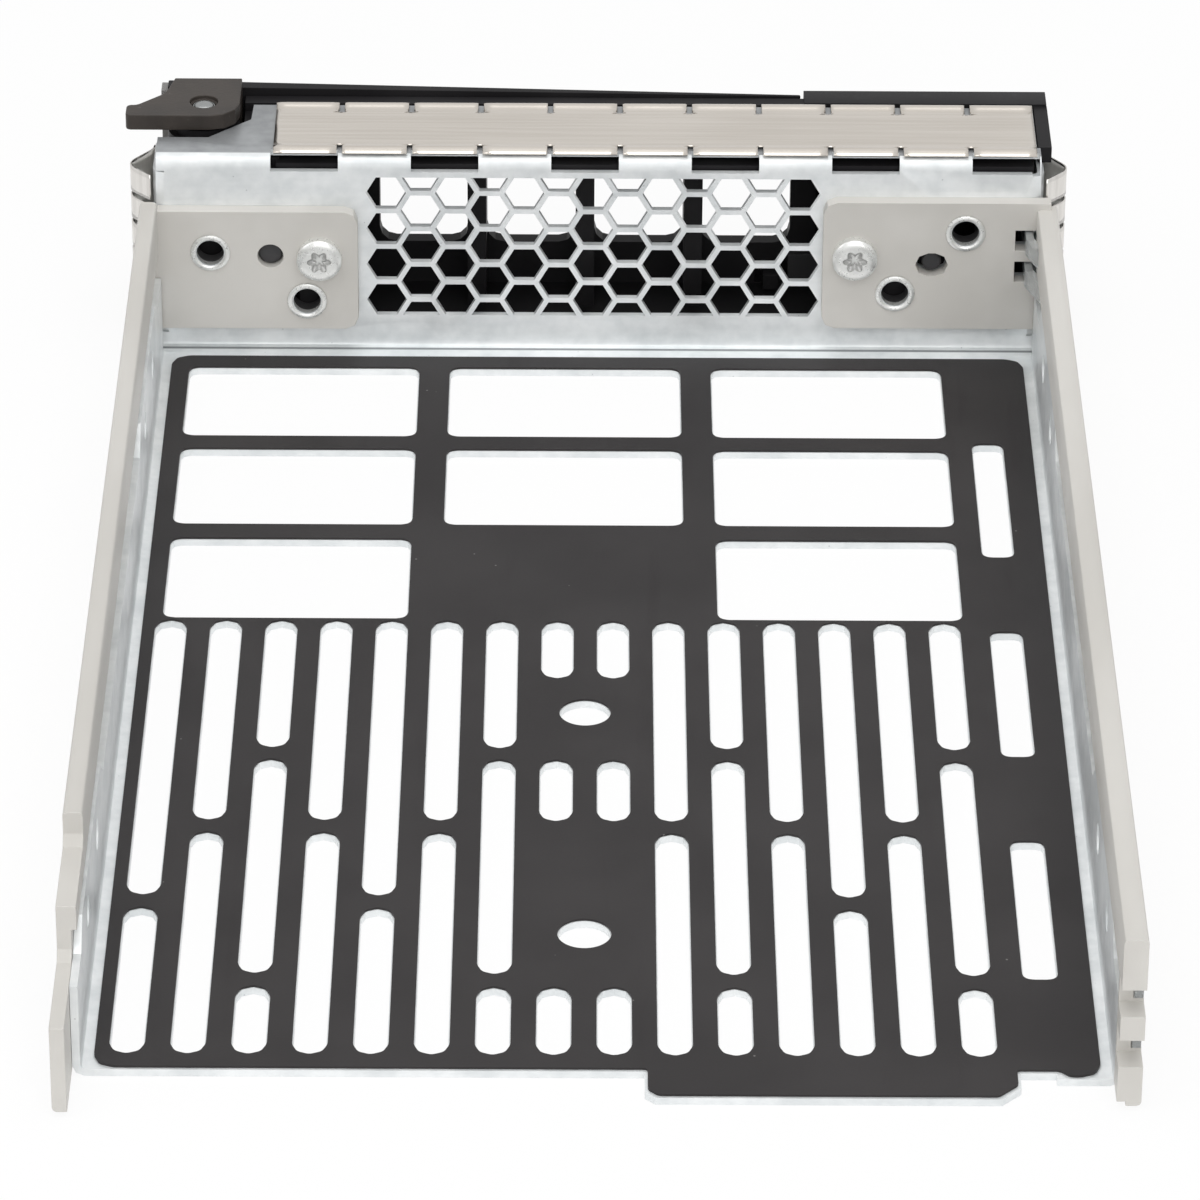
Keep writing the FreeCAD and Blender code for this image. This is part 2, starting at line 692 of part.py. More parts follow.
# ---- Rails ------------------------------------------------------------------------------
def rail_bar(skirt, bead_inset, rear):
    """Right-hand rail with its skirt outside the wall and a bead that caps the wall."""
    bead_z = wall_high + bead_gap
    outer = left_skirt + skirt
    inner = left_skirt - bead_inset
    section = [(left_skirt, rail_bottom), (outer, rail_bottom, edge_round / 2),
               (outer, rail_top, edge_round / 2), (inner, rail_top, edge_round / 2),
               (inner, bead_z), (left_skirt, bead_z)]
    bar = prism(section, front, (rear, rail_front), edge_flats)
    slots = []
    for back in (0, hole_spacing):
        v = around(hole_z, 2 * hole_radius)
        u = grown((min(hole_rows) - back, max(hole_rows) - back), hole_radius + access_reach)
        slot = rectangle(u, v, hole_radius)
        slots.append(prism(slot, side, (left_skirt - past, outer + past), slot_flats))
    return bar.cut(slots)


def pad_plate(limits, hand, collars, screw):
    """Plate of a rail against the rear of the front wall, with the holes of what passes it."""
    inner, bottom, top = limits
    outer = hand * (left_skirt + left_rail_thickness / 2)
    points = [(outer, bottom), (inner, bottom, pad_corner), (inner, top, pad_corner), (outer, top)]
    plate = prism(points, front, (pad_rear, wall_y), edge_flats)
    through = (pad_rear - past, wall_y + past)
    cutters = [clearance_hole(collar_radius + collar_wall + collar_gap, place, through)
               for place in collars]
    cutters.append(clearance_hole(pad_screw_radius + screw_clearance, screw, through))
    return plate.cut(cutters)


def left_rail():
    """Left rail with its stepped rear end and its pad."""
    bar = rail_bar(left_rail_thickness, left_bead_inset, left_rail_rear)
    height = rail_top
    step_y = floor_rear + left_steps[0][0]
    points = [(rail_front, 0), (rail_front, rail_top + past), (step_y, rail_top + past)]
    for reach, z in left_steps:
        y = floor_rear + reach
        points += [(y, height), (y, z + step_chamfer), (y - step_chamfer, z)]
        height = z
    points += [(left_rail_rear, height), (left_rail_rear, 0)]
    bar = bar.common(prism(points, side, (0, left_skirt + left_rail_thickness + past)))
    bar = bar.mirror(V(0, 0, 0), V(1, 0, 0))
    rail = joined([bar, pad_plate(left_pad, -1, left_collars, left_screw)])
    return rail.cut(peg_hole((pad_rear - past, wall_y + past)))


def right_rail():
    """Right rail, thicker, with the grooves of the two light pipes, and its pad."""
    outer = left_skirt + right_rail_thickness
    inner = left_skirt - right_bead_inset
    bar = rail_bar(right_rail_thickness, right_bead_inset, right_rail_rear)
    end = block((inner, left_skirt + weld), (right_rail_rear, floor_rear - notch_depth - end_gap),
                (end_bottom, rail_top - 2 * edge_round))
    rail = joined([bar, end, pad_plate(right_pad, 1, right_collars, right_screw)])
    through = (pad_rear - past, wall_y + past)
    cutters = [peg_slot(through)] + pipe_windows(through)
    for level in pipe_levels:
        cutters.append(light_pipe(level, pipe_gap))
        cutters.append(block((inner - past, outer + past),
                             (right_rail_rear - past, right_rail_rear + pipe_recess + pipe_gap),
                             around(level[0], pipe_pocket)))
    return rail.cut(cutters)


def pad_screw(place):
    """Pan-head screw with a star recess, through the pad and the wall into the bezel."""
    x, z = place
    head_y = pad_rear - pad_screw_head_height
    end_y = box_rear + tower[1] - past
    profile = [(0, head_y), (pad_screw_head - pad_screw_dome[0], head_y),
               (pad_screw_head, head_y + pad_screw_dome[1]), (pad_screw_head, pad_rear),
               (0, pad_rear)]
    head = outline_face(profile, plan, 0).revolve(V(0, 0, 0), V(0, 1, 0), 360)
    shank = flat_rod(pad_screw_radius, (0, 0), (pad_rear - weld, end_y), hidden_flats)
    screw = joined([head, shank])
    star = []
    for k in range(star_count):
        angle = 2 * math.pi * k / star_count
        star.append((star_reach[k % 2] * math.cos(angle), star_reach[k % 2] * math.sin(angle)))
    screw = screw.cut(prism(star, front, (head_y - past, head_y + star_depth)))
    screw.translate(V(x, 0, z))
    return screw


# ---- Gaskets ----------------------------------------------------------------------------
def top_gasket():
    """Springy strip over the top flange, slit into fingers along both edges."""
    rest = flange_top + gasket / 2 + strip_gap
    crest = rest + gasket_lift - gasket
    clip_y = flange_front + gasket / 2 + strip_gap
    under = flange_under - gasket / 2 - strip_gap
    line = [(wall_y + gasket_rise[0], rest), (wall_y + gasket_rise[1], crest),
            (flange_front - clip_lap, crest), (clip_y, crest - gasket / 2),
            (clip_y, under), (clip_y - clip_lap, under)]
    radii = (gasket_curl, gasket_curl, gasket, gasket_fold)
    strip = bent_strip(line, gasket, radii, side, top_gasket_x, fold_flats)
    first = top_gasket_x[0] + first_finger
    count = int((top_gasket_x[1] - first) / finger_pitch) + 1
    z = (under - past, crest + past)
    slots = []
    for i in range(count):
        x = around(first + i * finger_pitch, finger_slot)
        slots.append(block(x, (wall_y, wall_y + gasket_rise[0] + finger_slot_length[0]), z))
        slots.append(block(x, (flange_front - finger_slot_length[1], flange_front + past), z))
    return strip.cut(slots)


def side_gasket(hand, clip_front):
    """Arched spring strip clipped over the front edge of a side flange."""
    inner = bay_half - gasket / 2 - strip_gap
    outer = wall_outer + gasket / 2 + strip_gap
    clip_y = clip_front + gasket / 2 + strip_gap
    arch_rear = wall_y + pad_gap
    arch_front = arch_rear + side_gasket_arch
    line = [(inner, clip_y - side_clip_lap), (inner, clip_y), (outer, clip_y), (outer, arch_front),
            (wall_outer + side_gasket_bulge, arch_rear + side_gasket_arch * side_gasket_crest),
            (outer + gasket / 2, arch_rear)]
    points = line if hand > 0 else mirrored(line)
    radii = (gasket_fold, gasket_fold, gasket_curl, gasket_crest)
    strip = bent_strip(points, gasket, radii, plan, side_gasket_z, fold_flats)
    pitch = (side_gasket_z[1] - side_gasket_z[0]) / side_gasket_fingers
    x = sorted((hand * (outer - gasket), hand * (outer + side_gasket_bulge + past)))
    slots = [block(x, (arch_rear - past, arch_front - finger_slot / 2),
                   around(side_gasket_z[0] + i * pitch, finger_slot))
             for i in range(1, side_gasket_fingers)]
    return strip.cut(slots)


# ---- Bezel ------------------------------------------------------------------------------
def shelf_left_end():
    """Left end of the bezel's shelves, beside the hinge."""
    return pivot[0] + shelf_margin[0]


def grille_cutters(y, z):
    """Cutters for the tall windows of the bezel or of the lever."""
    return [prism(rectangle(u, z, grille_corner), front, y, slot_flats + 1)
            for u in divided(grille_sides, grille_count, grille_post)]


def screw_tower(place):
    """Post between the shelves that takes a pad screw."""
    y = (box_rear, box_rear + tower[1])
    post = block(around(place[0], tower[0]), y,
                 (shelf_bottom_z[1] - weld, shelf_top_z[0] + weld))
    pilot = clearance_hole(pad_screw_radius + screw_clearance / 2, place, grown(y, past))
    return post.cut(pilot)


def fixed_knuckle():
    """Barrel that carries the lever pin, with a gap for the spring, and its neck."""
    x, y = pivot
    rear = box_rear + knuckle_back
    barrel = rod(knuckle_radius, (x, y, knuckle_z[0]), (x, y, knuckle_z[1]))
    cap = rod(knuckle_neck, (x, y, knuckle_z[1]), (x, y, cam_under - swing_gap))
    back = block((x - knuckle_web, hinge_side + hinge_web / 2), (rear, y - knuckle_web), knuckle_z)
    web = block((hinge_side, hinge_side + hinge_web), (rear, grille_rear + weld), knuckle_z)
    lug = block((x, hinge_side + weld), (y - knuckle_lug[0], y - knuckle_lug[1]), knuckle_z)
    body = joined([barrel, cap, back, web, lug])
    room = coil_radius + coil_wire / 2 + 2 * swing_gap
    pocket = block((x - knuckle_radius - past, x + room), (y - room, y + knuckle_radius + past),
                   spring_room)
    return body.cut([pocket, rod(pin_radius, (x, y, 0), (x, y, cam_top))])


def button_shell():
    """Rounded block that the button slides in."""
    line = [(grille_rear, block_z[0]), (block_front, block_z[0], edge_round),
            (block_front, block_z[1], edge_round), (grille_rear, block_z[1])]
    return prism(line, side, button_block, edge_flats)


def bezel_frame():
    """Moulded frame in the front box: shelves, grille, hinge knuckle and button block."""
    y_box = (box_rear, grille_rear + weld)
    post_z = (shelf_bottom_z[1] - weld, shelf_top_z[0] + weld)
    shelf_x = (shelf_left_end(), bay_half - shelf_margin[1])
    windows = divided(grille_sides, grille_count, grille_post)
    ribs = [block((a[1], b[0]), (grille_rear - rib_depth, grille_rear + weld), post_z)
            for a, b in zip(windows, windows[1:])]
    cheek_start = wall_outer + gasket + cheek_gap
    seat_x = sum(button_x) / 2
    solid = joined([
        block(shelf_x, y_box, shelf_bottom_z), block(shelf_x, y_box, shelf_top_z),
        block((hinge_side, button_block[1]), (grille_rear, grille_front),
              (shelf_bottom_z[0], flange_top)),
        button_shell(),
        block((cheek_start, cheek_start + cheek), (wall_y + cheek_reach, grille_rear + weld),
              (block_z[0], flange_top)),
        block((bay_half + lip_gap, cheek_start + cheek), (wall_y + lip_reach, grille_rear + weld),
              (cutout_bottom - fold_gap + lip_gap, flange_top)),
        block(around(seat_x, seat_size[0]), (box_rear, box_rear + seat_size[1]), post_z),
        screw_tower(left_screw), screw_tower(right_screw), fixed_knuckle()] + ribs)
    opening = rectangle(grown(button_x, button_gap), grown(button_z, button_gap),
                        button_corner + button_gap)
    cutters = grille_cutters((grille_rear - past, grille_front + past), grille_window_z)
    cutters += [
        block(cavity_x, (grille_rear - weld / 2, cavity_front), cavity_z),
        prism(opening, front, (cavity_front - past, block_front + past), edge_flats),
        block((arm_x, cavity_x[0] + past), (grille_rear - past, grille_rear), tongue_z),
        block((tongue_left - barb, arm_x), (grille_rear - past, grille_front + past),
              (tongue_z[0] - tongue_room[0], tongue_z[1] + tongue_room[1]))]
    cutters += [light_pipe(level, pipe_gap) for level in pipe_levels]
    return solid.cut(cutters)


# ---- Lever ------------------------------------------------------------------------------
def cam_outline():
    """Plan of a cam plate: square front, hook to the left and a rounded rear corner."""
    x, y = pivot
    tip = x - hook_reach
    left, right = x - cam_side, x + cam_right
    rear = y - cam_rear
    shoulder = rear + hook_width
    return [(tip, rear, hook_round), (right, rear, cam_round), (right, lever_rear),
            (left + cam_slant, lever_rear), (left, shoulder + hook_throat, hook_throat),
            (left - hook_throat, shoulder, throat_round), (tip, shoulder, hook_round)]


def lever_cam():
    """Upper and lower cam plates on one web, bored for the pin."""
    x, y = pivot
    upper = prism(cam_outline(), plan, (cam_under, cam_top), edge_flats + 1)
    lower = prism(cam_outline(), plan, (lever_floor, lower_cam_top), edge_flats + 1)
    web = block((x - cam_side + cam_slant, x + cam_right), (web_rear, lever_rear), (lever_floor, cam_top))
    solid = joined([upper, lower, web])
    cutters = [rod(pin_radius + pin_play, (x, y, -past), (x, y, cam_top + past)),
               rod(counterbore_radius, (x, y, cam_top - counterbore_depth), (x, y, cam_top + past))]
    cutters += [clearance_hole(handle_screw_radius, (x, z), (web_rear - past, lever_rear + past))
                for z in handle_screw_z]
    return solid.cut(cutters)


def front_slab(back, front_inset, x, z_inset):
    """Bar of the lever whose front and top faces taper towards the free end."""
    run = handle_end_x - handle_left
    front_fall = (handle_front[1] - handle_front[0]) / run
    top_fall = (handle_top[1] - handle_top[0]) / run
    wide = grown(x, past)
    front_y = [handle_front[0] - front_inset + front_fall * (u - handle_left) for u in x]
    top_z = [handle_top[0] - z_inset + top_fall * (u - handle_left) for u in wide]
    seen_above = [(x[0], back), (x[1], back), (x[1], front_y[1]), (x[0], front_y[0])]
    seen_ahead = [(wide[0], handle_bottom + z_inset), (wide[1], handle_bottom + z_inset),
                  (wide[1], top_z[1]), (wide[0], top_z[0])]
    body = prism(seen_above, plan, (handle_bottom - past, handle_top[0] + past))
    body = body.common(prism(seen_ahead, front, (back - past, front_y[0] + past)))
    reach = (x[1] - x[0]) / 2
    rims = [e for e in body.Edges if e.Length > reach and e.CenterOfMass.y > back + weld]
    return body.makeChamfer(min(handle_edge, (front_y[1] - back) / 3), rims)


def lever_handle():
    """Plastic handle across the front, open at the windows, with its latch tongue."""
    bar = front_slab(lever_rear, fascia, (handle_left, handle_end_x), 0)
    reach_y = lever_rear - tongue_reach
    slope, level = barb_slope
    root = lever_rear + 2 * weld
    hook = [(tongue_left, root), (tongue_left, reach_y), (tongue_right, reach_y),
            (tongue_right + barb, reach_y + slope), (tongue_right + barb, reach_y + slope + level),
            (tongue_right, reach_y + slope + level), (tongue_right, root)]
    solid = joined([bar, prism(hook, plan, tongue_z)])
    cutters = grille_cutters((lever_rear - past, handle_front[0] + past), handle_window_z)
    for z in handle_screw_z:
        place = (pivot[0], z)
        cutters.append(clearance_hole(handle_screw_radius, place, (lever_rear - past, head_seat + past)))
        cutters.append(clearance_hole(handle_screw_head, place, (head_seat, handle_front[0] + past)))
    return solid.cut(cutters)


def lever_fascia():
    """Thin trim over the front and the left end of the handle."""
    outer = front_slab(lever_rear + weld, 0, (handle_left - fascia, handle_end_x), handle_edge)
    inner = front_slab(lever_rear - past, fascia, (handle_left, handle_end_x + past), 0)
    z = grown(handle_window_z, fascia_margin)
    windows = divided(grille_sides, grille_count, grille_post)
    cutters = [prism(rectangle(grown(u, fascia_margin), z, grille_corner), front,
                     (lever_rear, handle_front[0] + past), slot_flats + 1) for u in windows]
    return outer.cut(inner).cut(cutters)


def lever_screws():
    """Two screws from the front of the handle into the cam's web."""
    screws = []
    x = pivot[0]
    for z in handle_screw_z:
        along = (web_rear + weld, head_seat + weld)
        shank = flat_rod(handle_screw_radius - screw_clearance, (x, z), along, hidden_flats)
        along = (head_seat, head_seat + handle_screw_head_height)
        head = flat_rod(handle_screw_head, (x, z), along, hidden_flats)
        screws.append(joined([shank, head]))
    return Part.makeCompound(screws)


def lever_pin():
    """Steel pin pressed into the knuckle; both cam plates turn on it."""
    x, y = pivot
    top = cam_top - pin_short[1]
    pin = rod(pin_radius, (x, y, lever_floor + pin_short[0]), (x, y, top))
    rim = [e for e in pin.Edges if abs(e.BoundBox.ZMin - top) < same_height and e.Length > pin_radius]
    return pin.makeChamfer(pin_chamfer, rim[:1])


def coil(radius, wire, pitch, turns, base, way):
    """Round-wire spring that climbs along a direction, as rings of flats from turn to turn."""
    rings = []
    for k in range(int(turns * coil_steps) + 1):
        turn = 2 * math.pi * k / coil_steps
        out = V(math.cos(turn), math.sin(turn), 0)
        centre = out * radius + V(0, 0, pitch * k / coil_steps)
        points = [centre + (out * math.cos(a) + V(0, 0, 1) * math.sin(a)) * (wire / 2)
                  for a in (2 * math.pi * j / coil_flats for j in range(coil_flats))]
        rings.append(Part.makePolygon(points + points[:1]))
    spring = Part.makeLoft(rings, True, True)
    spring.Placement = FreeCAD.Placement(V(*base), FreeCAD.Rotation(V(0, 0, 1), V(*way)))
    return spring


def lever_spring():
    """Torsion spring round the pin that throws the lever open when it is released."""
    x, y = pivot
    free = spring_room[1] - spring_room[0] - coil_wire - 2 * swing_gap
    pitch = free / coil_turns * coil_fill
    base_z = spring_room[0] + coil_wire / 2 + swing_gap
    return coil(coil_radius, coil_wire, pitch, coil_turns, (x, y, base_z), (0, 0, 1))


# ---- Release button ---------------------------------------------------------------------
def release_button():
    """Hollow push button with a lip behind its panel, a finger dish and the latch arm."""
    rear = button_front - button_length
    low, high = button_z
    lip_front = cavity_front - button_gap
    arm_front = grille_rear - swing_gap
    cap = prism(rectangle(button_x, button_z, button_corner), front, (rear, button_front), edge_flats)
    lip = block(grown(button_x, button_lip), (lip_front - button_lip_depth, lip_front),
                grown(button_z, button_lip))
    arm = block((arm_x, button_x[0] + button_wall), (arm_front - latch_arm, arm_front),
                (tongue_z[0], tongue_z[0] + latch_arm_height))
    hollow = block(grown(button_x, -button_wall), (rear - past, button_front - button_wall),
                   grown(button_z, -button_wall))
    middle = (low + high) / 2
    axis_y = button_front + dish_radius - dish_depth
    ends = grown(button_x, -dish_margin)
    dish = rod(dish_radius, (ends[0], axis_y, middle), (ends[1], axis_y, middle))
    return joined([cap, lip, arm]).cut([hollow, dish])


def button_spring():
    """Compression spring between the bezel's seat and the inside of the button."""
    start = box_rear + seat_size[1] + return_wire / 2 + spring_slack[0]
    end = button_front - button_wall - return_wire / 2 - spring_slack[1]
    pitch = (end - start) / return_turns
    base = (sum(button_x) / 2, start, sum(button_z) / 2)
    return coil(return_radius, return_wire, pitch, return_turns, base, (0, 1, 0))


# ---- Nodes ------------------------------------------------------------------------------
nodes = {
    "tray_pan": tray_pan(),
    "floor_insulator": floor_insulator(),
    "left_rail": left_rail(),
    "right_rail": right_rail(),
    "left_pad_screw": pad_screw(left_screw),
    "right_pad_screw": pad_screw(right_screw),
    "top_gasket": top_gasket(),
    "left_side_gasket": side_gasket(-1, left_flange_front),
    "right_side_gasket": side_gasket(1, flange_front),
    "lower_light_pipe": light_pipe(pipe_levels[0]),
    "upper_light_pipe": light_pipe(pipe_levels[1]),
    "bezel_frame": bezel_frame(),
    "lever_pin": lever_pin(),
    "lever_cam": lever_cam(),
    "lever_handle": lever_handle(),
    "lever_fascia": lever_fascia(),
    "lever_screws": lever_screws(),
    "lever_spring": lever_spring(),
    "release_button": release_button(),
    "button_spring": button_spring(),
}

os.makedirs("parts", exist_ok=True)
for name, shape in nodes.items():
    shape.exportStep("parts/" + name + ".step")
    print(f"{name}: solids {len(shape.Solids)}, valid {shape.isValid()}, "
          f"volume {shape.Volume / 1000:.3f} cm3")
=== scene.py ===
"""Looks of the hot swap drive caddy: finishes, soft edges and fine metalwork on the fixed frame."""
import json
import logging
import math
from dataclasses import dataclass, field
from enum import Enum
from typing import Sequence, Union

import bmesh
import bpy
import numpy as np
from mathutils import Matrix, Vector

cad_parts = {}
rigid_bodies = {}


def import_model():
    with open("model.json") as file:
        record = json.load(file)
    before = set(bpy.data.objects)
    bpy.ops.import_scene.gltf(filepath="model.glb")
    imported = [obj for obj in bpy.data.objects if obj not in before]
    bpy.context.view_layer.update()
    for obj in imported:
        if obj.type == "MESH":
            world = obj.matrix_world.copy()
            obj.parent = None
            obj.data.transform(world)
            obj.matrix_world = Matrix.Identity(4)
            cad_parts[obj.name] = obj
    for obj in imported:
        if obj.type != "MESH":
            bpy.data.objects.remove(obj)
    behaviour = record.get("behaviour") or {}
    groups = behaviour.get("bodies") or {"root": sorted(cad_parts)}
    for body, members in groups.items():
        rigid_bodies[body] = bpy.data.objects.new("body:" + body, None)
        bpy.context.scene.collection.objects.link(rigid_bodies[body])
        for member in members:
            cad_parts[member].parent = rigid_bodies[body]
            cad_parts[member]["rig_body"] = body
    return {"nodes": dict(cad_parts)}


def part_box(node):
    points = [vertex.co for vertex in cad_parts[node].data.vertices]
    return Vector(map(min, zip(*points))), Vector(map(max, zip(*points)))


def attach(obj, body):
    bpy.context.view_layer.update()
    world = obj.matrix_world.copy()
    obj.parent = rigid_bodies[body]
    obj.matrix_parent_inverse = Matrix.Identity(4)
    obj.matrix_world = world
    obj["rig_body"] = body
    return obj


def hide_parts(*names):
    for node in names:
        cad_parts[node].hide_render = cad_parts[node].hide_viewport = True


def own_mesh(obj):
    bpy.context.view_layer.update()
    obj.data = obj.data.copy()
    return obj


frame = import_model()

LOG = logging.getLogger("caddy")
MM = 0.001
SAME_POINT = 2e-7  # points of a new surface nearer than this are one, in metres
SAME_CORNER = 2e-6  # the same for a solid's mesh
FLAT = 0.5  # faces that meet at less than this many degrees are one
SOFT_FROM = 28.0  # edges sharper than this many degrees get a bevel
SHEET_HEIGHT = 0.85 * MM  # an upright edge longer than this is no edge of an opening
FLOOR_TOP = 2.0 * MM  # openings are rounded below this height
OPENING_TURN = 12.0  # degrees at least at the corner of an opening
UPRIGHT = 0.999  # share of an upright edge's length that is height
CURVE_STEP = 0.35 * MM  # longest run between two points of a strip's section
OPENING_STEPS = 3  # faces round each corner of an opening
EDGE_STEPS = 2  # faces across each soft edge
CIRCULAR = 0.5  # profile of a bevel that is part of a circle
ASKEW = (0.31, 0.17, 0.94)  # a direction that no wire runs along
MIDDLE = 0.5  # middle value of a pattern
SOFT_BAND = (0.3, 0.7)  # the part of a pattern that tints go from end to end in
Colour = tuple[float, float, float]
Point = tuple[float, float, float]
Band = tuple[float, float]
Piece = bpy.types.Object
Array = np.ndarray


# ---- Shader trees ----
@dataclass(frozen=True)
class Cells:
    """Fractal noise: cells per metre, detail, and a stretch per axis that draws the cells out."""

    scale: float
    detail: float = 3.0
    stretch: Point = (1.0, 1.0, 1.0)


class Signal:
    """One socket of a shader tree, with operators that add Math nodes."""

    def __init__(self, tree: "ShaderTree", socket: bpy.types.NodeSocket) -> None:
        """Keep the tree and the socket that this signal stands for."""
        self.tree = tree
        self.socket = socket

    def maths(self, operation: str, *operands: "Value") -> "Signal":
        """Result of a Math node, with its operands in the order of its inputs."""
        inputs = dict(enumerate(operands))
        return self.tree.add("ShaderNodeMath", {"operation": operation}, inputs)

    def __add__(self, other: "Value") -> "Signal":
        """This signal plus another."""
        return self.maths("ADD", self, other)

    def __sub__(self, other: "Value") -> "Signal":
        """This signal minus another."""
        return self.maths("SUBTRACT", self, other)

    def __rsub__(self, other: float) -> "Signal":
        """A value minus this signal."""
        return self.maths("SUBTRACT", other, self)

    def __mul__(self, other: "Value") -> "Signal":
        """This signal times another."""
        return self.maths("MULTIPLY", self, other)

    __radd__ = __add__
    __rmul__ = __mul__

    def between(self, low: float, high: float, first: float = 0.0, last: float = 1.0) -> "Signal":
        """Smooth step from the first level at a low value of this signal to the last at a high one."""
        inputs = dict(enumerate((self, low, high, first, last)))
        return self.tree.add("ShaderNodeMapRange", {"interpolation_type": "SMOOTHSTEP"}, inputs)

    def swing(self, share: float) -> "Signal":
        """Share of this pattern's distance from its middle value."""
        return (self - MIDDLE) * share

    def limited(self) -> "Signal":
        """This signal held between 0 and 1."""
        return self.maths("MAXIMUM", self.maths("MINIMUM", self, 1.0), 0.0)


Value = Union[Signal, float]


class ShaderTree:
    """A node tree with one method that adds any node."""

    def __init__(self, owner: Union[bpy.types.Material, bpy.types.World], surface: str) -> None:
        """Keep the tree of a material or world, and its surface node by name."""
        owner.use_nodes = True
        self.nodes = owner.node_tree.nodes
        self.links = owner.node_tree.links
        self.surface = self.nodes[surface]

    def add(self, kind: str, settings: dict, inputs: dict, output: Union[int, str] = 0) -> Signal:
        """Add a node.

        Args:
            kind: The node's type name.
            settings: Attributes set before anything else.
            inputs: Values or signals by input name or index.
            output: Name or index of the output that is returned.

        Returns:
            The chosen output as a signal.
        """
        node = self.nodes.new(kind)
        for key, value in settings.items():
            setattr(node, key, value)
        for key, value in inputs.items():
            self.feed(node.inputs[key], value)
        return Signal(self, node.outputs[output])

    def feed(self, socket: bpy.types.NodeSocket, value: Union[Signal, float, Sequence[float]]) -> None:
        """Link a signal to a socket, or set the socket to a value."""
        if isinstance(value, Signal):
            self.links.new(value.socket, socket)
        elif isinstance(value, tuple) and len(value) == 3 and socket.type == "RGBA":
            socket.default_value = (*value, 1.0)
        else:
            socket.default_value = value

    def set(self, **inputs: Union[Signal, float, Colour]) -> None:
        """Feed inputs of the surface node; underscores stand for spaces."""
        for key, value in inputs.items():
            self.feed(self.surface.inputs[key.replace("_", " ")], value)

    def place(self, stretch: Point = (1.0, 1.0, 1.0)) -> Signal:
        """Object coordinates, stretched per axis to draw out a pattern."""
        coordinates = self.add("ShaderNodeTexCoord", {}, {}, "Object")
        return self.add("ShaderNodeMapping", {}, {"Vector": coordinates, "Scale": stretch})

    def axis(self, letter: str) -> Signal:
        """One of the three object coordinates."""
        return self.add("ShaderNodeSeparateXYZ", {}, {"Vector": self.place()}, letter)

    def noise(self, cells: Cells) -> Signal:
        """Fractal noise, from 0 to 1."""
        inputs = {"Vector": self.place(cells.stretch), "Scale": cells.scale, "Detail": cells.detail}
        return self.add("ShaderNodeTexNoise", {}, inputs, "Fac")

    def specks(self, scale: float, size: float) -> Signal:
        """Sparse round specks: 1 inside a speck and 0 outside."""
        inputs = {"Vector": self.place(), "Scale": scale, "Randomness": 1.0}
        distance = self.add("ShaderNodeTexVoronoi", {}, inputs, "Distance")
        return 1.0 - distance.between(size * 0.5, size)

    def mix(self, factor: Signal, first: Union[Signal, Colour], second: Union[Signal, Colour]) -> Signal:
        """Colour that goes from the first to the second as the factor goes from 0 to 1."""
        return self.add("ShaderNodeMix", {"data_type": "RGBA"}, {0: factor, 6: first, 7: second}, 2)

    def bump(self, height: Signal, strength: float, depth: float) -> Signal:
        """Normal that follows a height, with a depth in metres."""
        return self.add("ShaderNodeBump", {}, {"Strength": strength, "Distance": depth,
                                               "Height": height}, "Normal")


# ---- Finishes ----
@dataclass(frozen=True)
class Finish:
    """A finish that paints one material, made once and shared."""

    name: str

    def material(self) -> bpy.types.Material:
        """Material of this finish."""
        found = bpy.data.materials.get(self.name)
        if found:
            return found
        made = bpy.data.materials.new(self.name)
        self.paint(ShaderTree(made, "Principled BSDF"))
        return made

    def paint(self, tree: ShaderTree) -> None:
        """Fill the shader tree; each finish has its own way."""
        raise NotImplementedError

    def dress(self, piece: Piece) -> None:
        """Put this finish on every material slot of a piece."""
        if not piece.material_slots:
            piece.data.materials.append(None)
        for slot in piece.material_slots:
            slot.material = self.material()


